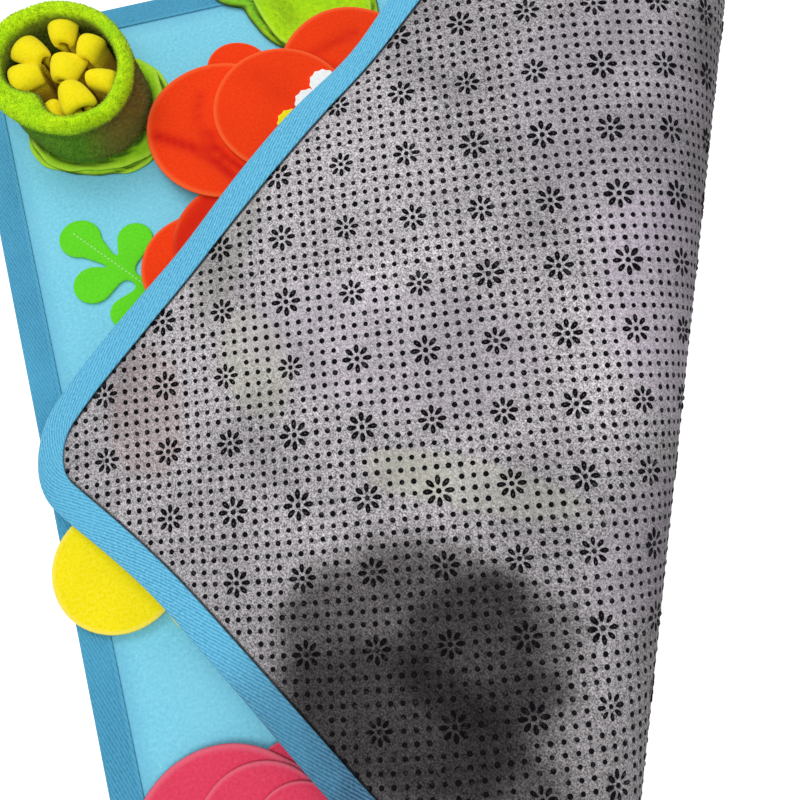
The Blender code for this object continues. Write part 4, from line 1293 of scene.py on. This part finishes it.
# ---- the cup -------------------------------------------------------------------------------------
def cup_centre(height):
    share = (np.asarray(height, float) - CUP_FOOT_Z) / (CUP_TOP_Z - CUP_FOOT_Z)
    foot, rim = np.array(CUP_FOOT_CENTRE), np.array(CUP_RIM_CENTRE)
    return foot + share[..., None] * (rim - foot)


def wobble(angle, height):
    """Soft unevenness of the plush wall."""
    return (
        0.7 * np.sin(2.0 * angle + 0.6 + height * 0.04) + 0.45 * np.sin(3.0 * angle - 1.0)
        + 0.3 * np.sin(7.0 * angle + height * 0.21) + 0.2 * np.sin(11.0 * angle - height * 0.33)
    )


def make_cup_wall(finish):
    """The plush tube: tilted, with a fat rolled rim that bulges inwards on one side."""
    count = 144
    section = np.array(CUP_SECTION)
    angle = np.linspace(0.0, 2.0 * math.pi, count, endpoint=False)
    radius, share = section.T[:, :, None]
    top = CUP_TOP_Z + CUP_TILT * np.cos(angle - CUP_HIGH_SIDE)
    height = CUP_FOOT_Z + share * (top - CUP_FOOT_Z)
    inside = (np.arange(len(section)) >= CUP_OUTER_STEPS)[:, None]
    away = np.angle(np.exp(1j * (angle - CUP_BULGE_SIDE)))
    bulge = 1.5 * np.exp(-((away / math.radians(27.0)) ** 2)) * smooth(share, 0.74, 0.90)
    radius = radius - (CUP_RIM_RADIUS - radius) * bulge
    radius = radius + 1.7 * np.maximum(np.sin(angle), 0.0) ** 2 * smooth(share, 0.66, 0.86) * ~inside
    soft = smooth(share, 0.0, 0.25)
    radius = radius + soft * wobble(angle[None, :], height) * np.where(inside, 0.35, 0.8)
    waves = 0.5 * np.sin(3.0 * angle + 0.8) + 0.35 * np.sin(7.0 * angle - 0.4)
    height = np.maximum(height + soft * waves * smooth(share, 0.6, 1.0), CUP_FOOT_Z)
    middle = cup_centre(height)
    round_it = np.stack((radius * np.cos(angle), radius * np.sin(angle)), 2)
    points = np.dstack((middle + round_it, height)).reshape(-1, 3)
    faces = grid_faces(len(section), count, wrap_rows=True, wrap_columns=True)
    piece = make_piece("plush_cup_wall", "cup_wall", points, faces, finish, "green_plush")
    return piece


def ring_line(centre, radius):
    """Points round a closed ring, for a crease to follow."""
    return arc(*centre, radius, 0.0, 2.0 * math.pi, 48)


def make_cup_base(node, height, scale, turn, finish, crease):
    angle = np.linspace(0.0, 2.0 * math.pi, 96, endpoint=False)
    radius = CUP_BASE_RADIUS + CUP_BASE_CORNER * np.cos(4.0 * (angle - CUP_BASE_TURN - turn))
    radius = radius + 0.4 * np.sin(9.0 * angle + turn * 20.0) + 0.25 * np.sin(17.0 * angle)
    outline = np.array(CUP_BASE_CENTRE) + scale * radius[:, None] * np.stack((np.cos(angle), np.sin(angle)), 1)
    petal(
        "plush", node, outline, CUP_BASE_CENTRE, CUP_BASE_LAYER, height, finish, "green_plush",
        crease_shade_lines=(crease,), sink=0.3,
    )


def make_loop(index, angle, distance, top, heading, width, length, shift, rise, finish):
    """A fleece strip folded into a fat hairpin: its legs lie close, and only a small slit shows the tunnel."""
    half_strip = LOOP_STRIP / 2.0
    middle_line = width / 2.0 - half_strip
    crown = top + rise
    shoulder = crown - (middle_line * LOOP_FLATNESS + half_strip)
    legs = np.linspace(CUP_FOOT_Z, shoulder, 18)
    path = [(middle_line, height) for height in legs]
    for turn in np.linspace(0.0, math.pi, 19)[1:-1]:
        path.append((middle_line * math.cos(turn), shoulder + middle_line * LOOP_FLATNESS * math.sin(turn)))
    path = np.array(path + [(-middle_line, height) for height in legs[::-1]])
    ahead = np.gradient(path, axis=0)
    ahead /= np.hypot(*ahead.T)[:, None]
    outward = np.stack((ahead[:, 1], -ahead[:, 0]), 1)
    drawn = smooth(crown - path[:, 1], 5.5, 10.0)
    slit = 0.5 + half_strip
    path[:, 0] = np.sign(path[:, 0]) * (np.abs(path[:, 0]) * (1.0 - drawn) + slit * drawn)
    turns = np.linspace(0.0, 2.0 * math.pi, 24, endpoint=False)
    across, through = (
        half * np.sign(wave(turns)) * np.abs(wave(turns)) ** 0.55
        for half, wave in ((length / 2.0, np.cos), (half_strip, np.sin))
    )
    near_top = smooth(path[:, 1], shoulder - 8.0, crown)[:, None]
    breadth = (1.0 + 0.04 * np.sin(path[:, 1] * 0.35 + index * 1.7)) * (1.0 - 0.14 * drawn)
    end = across * breadth[:, None]
    sag = (2.0 * across / length) ** 2 * near_top
    side = path[:, :1] * (1.0 - 0.14 * sag) + outward[:, :1] * through
    level = path[:, 1:] + outward[:, 1:] * through - 1.5 * sag
    if distance > 0.0:
        side = side * (1.0 + 0.030 * end)
        level = level - 0.10 * end * near_top
        end = end + shift
    level = np.maximum(level, CUP_FOOT_Z + 0.1)
    centre = cup_centre(level)
    points = np.stack((
        centre[..., 0] + distance * math.cos(angle) + end * math.cos(heading) - side * math.sin(heading),
        centre[..., 1] + distance * math.sin(angle) + end * math.sin(heading) + side * math.cos(heading),
        level,
    ), 2).reshape(-1, 3)
    rows, columns = level.shape
    caps = [range(columns)[::-1], range((rows - 1) * columns, rows * columns)]
    faces = [*grid_faces(rows, columns, wrap_columns=True), *caps]
    run = run_along(path)
    flat = np.stack(np.broadcast_arrays(run[:, None], end), 2).reshape(-1, 2)
    plain = np.zeros(rows * columns)
    piece = make_piece(
        f"fleece_loop_{index}", f"cup_loop_{index}", points, faces, finish, "yellow_fleece", flat,
        rim=plain, crease=plain,
    )
    flip_if_inside_out(piece)


def flip_if_inside_out(piece):
    shape = bmesh.new()
    shape.from_mesh(piece.data)
    if shape.calc_volume(signed=True) < 0.0:
        bmesh.ops.reverse_faces(shape, faces=shape.faces[:])
        shape.to_mesh(piece.data)
    shape.free()


# ---- operators -----------------------------------------------------------------------------------
class PieceOperator:
    """What every piece's operator shares. Its make raises an error where it can't finish."""

    bl_options = {"REGISTER", "UNDO"}

    def execute(self, context):
        self.make(context.scene.snuffle_sizes, context.scene.snuffle_colours)
        return {"FINISHED"}


class SNUFFLE_OT_cloths(PieceOperator, bpy.types.Operator):
    """Makes the backing felt and the panel sewn on to it"""

    bl_idname = "snuffle.cloths"
    bl_label = "Felt and panel"

    def make(self, sizes, colours):
        mat_cloth(
            "dotted_felt_sheet", "backing_felt", felt_finish(colours), "dotted_felt",
            (1.15, FELT_FACE), (2.0, FELT_TOP),
        )
        mat_cloth(
            "light_blue_panel", "top_panel", panel_finish(colours), "panel_cloth",
            (2.7, PANEL_UNDER), (3.65, PANEL_TOP),
        )


class SNUFFLE_OT_dots(PieceOperator, bpy.types.Operator):
    """Lays the rubber dots and small flowers on the felt"""

    bl_idname = "snuffle.dots"
    bl_label = "Rubber dots"

    def make(self, sizes, colours):
        face = felt_face()
        tree = dot_tree()
        rubber = dot_finish(colours)
        origin = (DOT_ORIGIN[0] * MM, DOT_ORIGIN[1] * MM, 0.0)
        # low and high bound how far the felt faces upwards where the dots stand: 1 is up, -1 is down
        for part, sides, low, high in (("on_fold", 7, -0.9, 1.1), ("underneath", 5, -1.1, -0.9)):
            dot, drop = dot_shape(sizes.dot_radius, sides), drop_shape(9)
            for name, flowers in (("dots_", False), ("dot_flowers_", True)):
                flip_if_inside_out(grown(name + part, tree, {
                    "Felt": face, "Shape": dot, "Drop": drop, "Flowers": flowers, "Pitch": sizes.dot_pitch,
                    "Turn": DOT_TURN, "Origin": origin, "Low": low, "High": high, "Seed": sizes.seed,
                    "Material": rubber,
                }, "dotted_felt"))
            bpy.data.objects.remove(dot)
            bpy.data.objects.remove(drop)
        bpy.data.objects.remove(face)


class SNUFFLE_OT_binding(PieceOperator, bpy.types.Operator):
    """Folds the tape round the mat's edge and stitches it down"""

    bl_idname = "snuffle.binding"
    bl_label = "Binding"

    def make(self, sizes, colours):
        tape = tape_finish(colours, sizes)
        make_binding(tape)
        spots, inward, _ = edge_run(2.0)
        flat = spots + inward * STITCH_INSET
        tree = stitch_tree()
        for name, height in (("stitches_below", 0.32 - TAPE_DROP * lifted_by(flat)), ("stitches_above", 4.72)):
            points = FOLD.place(flat, height)
            line = line_object(name + "_line", np.vstack((points, points[:1])))
            grown(name, tree, {"Pitch": sizes.stitch_pitch, "Material": tape}, "binding_tape", line)


class SNUFFLE_OT_cup(PieceOperator, bpy.types.Operator):
    """Makes the plush cup on its two-layer base"""

    bl_idname = "snuffle.cup"
    bl_label = "Plush cup"

    def make(self, sizes, colours):
        foot = to_row((*CUP_FOOT_CENTRE, 0.0))
        right = (math.cos(CAMERA_AZIMUTH), math.sin(CAMERA_AZIMUTH), 0.0)
        beside = float(foot @ right)
        # level runs with the height over the tilted rim's plane, which stands at rim
        slope = CUP_TILT / CUP_RIM_MIDDLE
        level = (-slope * math.cos(CUP_HIGH_SIDE), -slope * math.sin(CUP_HIGH_SIDE), 1.0)
        rim = CUP_TOP_Z * MM - slope * float(foot @ (math.cos(CUP_HIGH_SIDE), math.sin(CUP_HIGH_SIDE), 0.0))
        wall = ((rim - 0.0052, rim - 0.0100, level), (0.0078, 0.0092, UP))
        mouth = tuple(to_row((*CUP_RIM_CENTRE, 0.0))[:2])
        plush = plush_finish(colours, "cup_plush_finish", (
            # painted shade: dark green down the wall below the rim
            ((0.082, 0.250, 0.010), 0.88, wall),
            # painted shade and painted reflection of the red petals: brown on the wall's right side
            ((0.250, 0.172, 0.030), 0.85, (*wall, (beside + 0.004, beside + 0.024, right))),
            ((0.230, 0.620, 0.020), 0.55, ((0.0100, 0.0092, UP),)),
            # painted shade: dark olive inside the mouth, just under the rim
            ((0.130, 0.170, 0.010), 0.90, ((rim - 0.0010, rim - 0.0050, level), (0.0312, 0.0290, mouth))),
        ))
        make_cup_base(
            "cup_base_lower", SEWN_Z, 1.0, 0.0, plush,
            # painted shadow: a dark line where the upper layer's edge lies on the lower
            (1.0, 1.0, ring_line(CUP_BASE_CENTRE, CUP_BASE_RADIUS * 0.965)),
        )
        make_cup_base(
            "cup_base_upper", SEWN_Z + 1.9, 0.955, math.radians(9.0), plush,
            # painted shade: a dark line where the wall meets the base
            (1.5, 1.0, ring_line(CUP_FOOT_CENTRE, 32.6)),
        )
        pile_on("cup_pile", make_cup_wall(plush), plush, "green_plush", sizes, 1)


class SNUFFLE_OT_loops(PieceOperator, bpy.types.Operator):
    """Stands the fleece loops in the cup"""

    bl_idname = "snuffle.loops"
    bl_label = "Fleece loops"

    def make(self, sizes, colours):
        # painted shade: orange-brown deeper down among the loops
        painted_hollow_shade = ((0.420, 0.190, 0.008), 0.75, ((0.0355, 0.0280, UP),))
        pale, dark = (1.0, 0.95, 0.30), (0.8, 0.6, 0.5)
        yellow = fleece_finish("loop_fleece_finish", colours.yellow, 0.0, pale, dark, (painted_hollow_shade,))
        for index, (angle, distance, top, heading, *shape) in enumerate(LOOPS, 1):
            make_loop(index, math.radians(angle), distance, top, math.radians(heading), *shape, yellow)


class SNUFFLE_OT_leaf(PieceOperator, bpy.types.Operator):
    """Makes the two layers of the plush leaf"""

    bl_idname = "snuffle.leaf"
    bl_label = "Plush leaf"

    def make(self, sizes, colours):
        lobe = to_row((150.0, 0.0, 0.0))[0]
        dark = ((0.095, 0.440, 0.030), 0.60, ((lobe + 0.014, lobe + 0.006, (1.0, 0.0, 0.0)),))
        plush = plush_finish(colours, "leaf_plush_finish", (((0.31, 0.66, 0.003), 0.50, ()), dark))
        petal(
            "plush", "leaf_lower", resampled(rounded_loop(LEAF_LOWER), 110), (186.0, -28.0), LEAF_LAYER, OVER_TAPE_Z,
            plush, "green_plush",
            # painted shadow lines: along the upper layer's edge and round the lower layer's own outline
            crease_shade_lines=((1.1, 1.0, LEAF_UPPER + LEAF_UPPER[:1]), (1.3, 1.0, LEAF_LOWER + LEAF_LOWER[:1])), sink=0.2,
        )
        petal(
            "plush", "leaf_upper", resampled(rounded_loop(LEAF_UPPER), 110), (188.0, -32.0), LEAF_LAYER + 0.9,
            OVER_TAPE_Z + LEAF_LAYER + 0.4, plush, "green_plush",
            # a sunk fold, with painted shade along it
            crease_shade_lines=((5.5, 0.30, ((167.0, -8.0), (171.0, -20.0), (174.5, -31.0), (176.0, -38.0))),), sink=4.0,
        )


class SNUFFLE_OT_red_flower(PieceOperator, bpy.types.Operator):
    """Lays the red petals and the pinked pieces in their middle"""

    bl_idname = "snuffle.red_flower"
    bl_label = "Red flower"

    def make(self, sizes, colours):
        red = fleece_finish("red_fleece_finish", colours.red, 0.85, (1.0, 0.24, 0.06), (0.66, 0.16, 0.9))
        for node, x, y, radius, level in RED_PETALS:
            root = root_toward(RED_CENTRE, x, y, 13.0, 6.0)
            if math.hypot(x - root[0], y - root[1]) < radius:
                reach = math.hypot(x - RED_CENTRE[0], y - RED_CENTRE[1])
                root = (*RED_CENTRE, max(6.0, radius - 0.9 * reach))
            petal(
                "fleece", node, two_circles((x, y, radius), root), (x, y), FLEECE, SEWN_Z + LEVEL * level,
                red, "red_fleece", lift=red_lift, crease_shade_lines=RED_CREASE_SHADES.get(node, ()),
            )
        finishes = {
            "white": fleece_finish("white_fleece_finish", colours.white, 0.0, (1.0, 1.0, 1.0), (0.8, 0.8, 0.8)),
            "yellow": fleece_finish("yellow_fleece_finish", colours.yellow),
        }
        for node, angle, distance, level in TABS:
            heading = math.radians(angle)
            tip = (TAB_CENTRE[0] + distance * math.cos(heading), TAB_CENTRE[1] + distance * math.sin(heading))
            root = root_toward(TAB_CENTRE, *tip, 6.8, 2.5)
            colour = node.split("_")[0]
            petal(
                "pinked", node, pinked(two_circles((*tip, TAB_TIP), root)), tip, TAB_THICKNESS,
                SEWN_Z + LEVEL * 4 + TAB_LEVEL * level, finishes[colour], colour + "_fleece",
                red_lift,
            )


class SNUFFLE_OT_sprig(PieceOperator, bpy.types.Operator):
    """Cuts the green felt sprig and stitches its stem"""

    bl_idname = "snuffle.sprig"
    bl_label = "Felt sprig"

    def make(self, sizes, colours):
        green = fleece_finish("green_felt_finish", colours.sprig, 0.25, (0.45, 1.0, 0.15))
        outline, along = sprig_outline()
        flat_piece("felt", "sprig", outline, SPRIG_LAYER, SEWN_Z, green, "green_felt")
        pale = fleece_finish("sprig_thread_finish", leaning(tuple(colours.sprig), (0.6, 1.0, 0.35), 0.5))
        marks = np.linspace(-3.5, 58.0, 40)
        flat = np.array(SPRIG_TIP) + marks[:, None] * along
        line = line_object("sprig_stem_line", np.column_stack((flat, np.full(len(flat), SEWN_Z + SPRIG_LAYER + 0.1))))
        grown("sprig_stem_stitches", stitch_tree(), {
            "Pitch": 0.0022, "Length": 0.0026, "Thread": 0.0010, "Material": pale,
        }, "green_felt", line)


class SNUFFLE_OT_yellow_flower(PieceOperator, bpy.types.Operator):
    """Lays the yellow petals at the left edge"""

    bl_idname = "snuffle.yellow_flower"
    bl_label = "Yellow flower"

    def make(self, sizes, colours):
        yellow = fleece_finish("yellow_fleece_finish", colours.yellow)

        def lift(x, y):
            square = (x - YELLOW_CENTRE[0]) ** 2 + (y - YELLOW_CENTRE[1]) ** 2
            return YELLOW_LIFT * square / (square + SPREAD ** 2)

        for node, x, y, radius, level in YELLOW_PETALS:
            root = root_toward(YELLOW_CENTRE, x, y, 9.0, 8.0)
            petal(
                "fleece", node, two_circles((x, y, radius), root), (x, y), YELLOW_THICKNESS,
                OVER_TAPE_Z + YELLOW_LEVEL * level, yellow, "yellow_fleece", lift=lift,
            )


class SNUFFLE_OT_rosette(PieceOperator, bpy.types.Operator):
    """Lays the nested sheets of the pink rosette"""

    bl_idname = "snuffle.rosette"
    bl_label = "Pink rosette"

    def make(self, sizes, colours):
        pink = fleece_finish("pink_fleece_finish", colours.pink, 0.50, (1.0, 0.42, 0.50))

        def crown(x, y):
            away = np.hypot(x - ROSETTE_CENTRE[0], y - ROSETTE_CENTRE[1])
            return 7.0 - 8.2 * (away / 60.0) ** 2

        for node, x, y, radius, *root, level in ROSETTE_PETALS:
            petal(
                "fleece", node, two_circles((x, y, radius), root), (x, y), FLEECE, SEWN_Z + LEVEL * level,
                pink, "pink_fleece", lift=crown,
            )


class SNUFFLE_OT_stage(PieceOperator, bpy.types.Operator):
    """Makes the floor, the lights and the camera"""

    bl_idname = "snuffle.stage"
    bl_label = "Floor, lights and camera"

    def make(self, sizes, colours):
        scene = bpy.context.scene
        mesh = bpy.data.meshes.new("floor")
        corners = ((-1, -1), (1, -1), (1, 1), (-1, 1))
        mesh.from_pydata([(FLOOR_REACH * x, FLOOR_REACH * y, 0.0) for x, y in corners], [], [(0, 1, 2, 3)])
        finish = Finish("floor_finish", 0.95)
        finish.colour((0.92, 0.92, 0.92))
        finish.shader.inputs["Emission Color"].default_value = (1.0, 1.0, 1.0, 1.0)
        finish.shader.inputs["Emission Strength"].default_value = 0.42
        mesh.materials.append(finish.material)
        new_object("floor", mesh)
        scene.world = bpy.data.worlds.new("studio")
        scene.world.use_nodes = True
        background = scene.world.node_tree.nodes["Background"].inputs
        background["Color"].default_value = (1.0, 1.0, 1.0, 1.0)
        background["Strength"].default_value = 0.50
        for name, place, size, power in LIGHTS:
            light = bpy.data.lights.new(name, "AREA")
            light.size = size
            light.energy = power
            lamp = new_object(name, light)
            lamp.location = place
            lamp.rotation_euler = (-Vector(place)).to_track_quat("-Z", "Y").to_euler()
        scene.view_settings.view_transform = "Standard"
        lens = bpy.data.cameras.new("camera")
        lens.lens = CAMERA_LENS
        lens.sensor_width = 36.0
        lens.clip_start = 0.01
        camera = new_object("camera", lens)
        level = Vector((math.cos(CAMERA_AZIMUTH), math.sin(CAMERA_AZIMUTH), 0.0))
        away = Vector((-level.y, level.x, 0.0))
        back = Vector((0.0, 0.0, math.sin(CAMERA_ELEVATION))) - away * math.cos(CAMERA_ELEVATION)
        upright = back.cross(level)
        right = level * math.cos(CAMERA_ROLL) + upright * math.sin(CAMERA_ROLL)
        up = upright * math.cos(CAMERA_ROLL) - level * math.sin(CAMERA_ROLL)
        turn = Matrix((right, up, back)).transposed().to_4x4()
        camera.matrix_world = Matrix.Translation(to_row(CAMERA_PLACE)) @ turn
        scene.camera = camera


PIECE_OPERATORS = (
    SNUFFLE_OT_cloths, SNUFFLE_OT_dots, SNUFFLE_OT_binding, SNUFFLE_OT_cup, SNUFFLE_OT_loops, SNUFFLE_OT_leaf,
    SNUFFLE_OT_red_flower, SNUFFLE_OT_sprig, SNUFFLE_OT_yellow_flower, SNUFFLE_OT_rosette, SNUFFLE_OT_stage,
)


class SNUFFLE_PT_panel(bpy.types.Panel):
    """Lists the mat's settings and pieces"""

    bl_idname = "SNUFFLE_PT_panel"
    bl_label = "Snuffle Mat"
    bl_space_type = "VIEW_3D"
    bl_region_type = "UI"
    bl_category = "Snuffle Mat"

    def draw(self, context):
        for group in (context.scene.snuffle_sizes, context.scene.snuffle_colours):
            box = self.layout.box()
            for name in group.__annotations__:
                box.prop(group, name)
        for operator in PIECE_OPERATORS:
            self.layout.operator(operator.bl_idname)


CLASSES = (MatSizes, MatColours, *PIECE_OPERATORS, SNUFFLE_PT_panel)


def register():
    for each in CLASSES:
        bpy.utils.register_class(each)
    bpy.types.Scene.snuffle_sizes = PointerProperty(type=MatSizes)
    bpy.types.Scene.snuffle_colours = PointerProperty(type=MatColours)


def unregister():
    del bpy.types.Scene.snuffle_colours
    del bpy.types.Scene.snuffle_sizes
    for each in reversed(CLASSES):
        bpy.utils.unregister_class(each)


def main():
    register()
    for operator in PIECE_OPERATORS:
        family, name = operator.bl_idname.split(".")
        getattr(getattr(bpy.ops, family), name)()


if __name__ == "__main__":
    main()
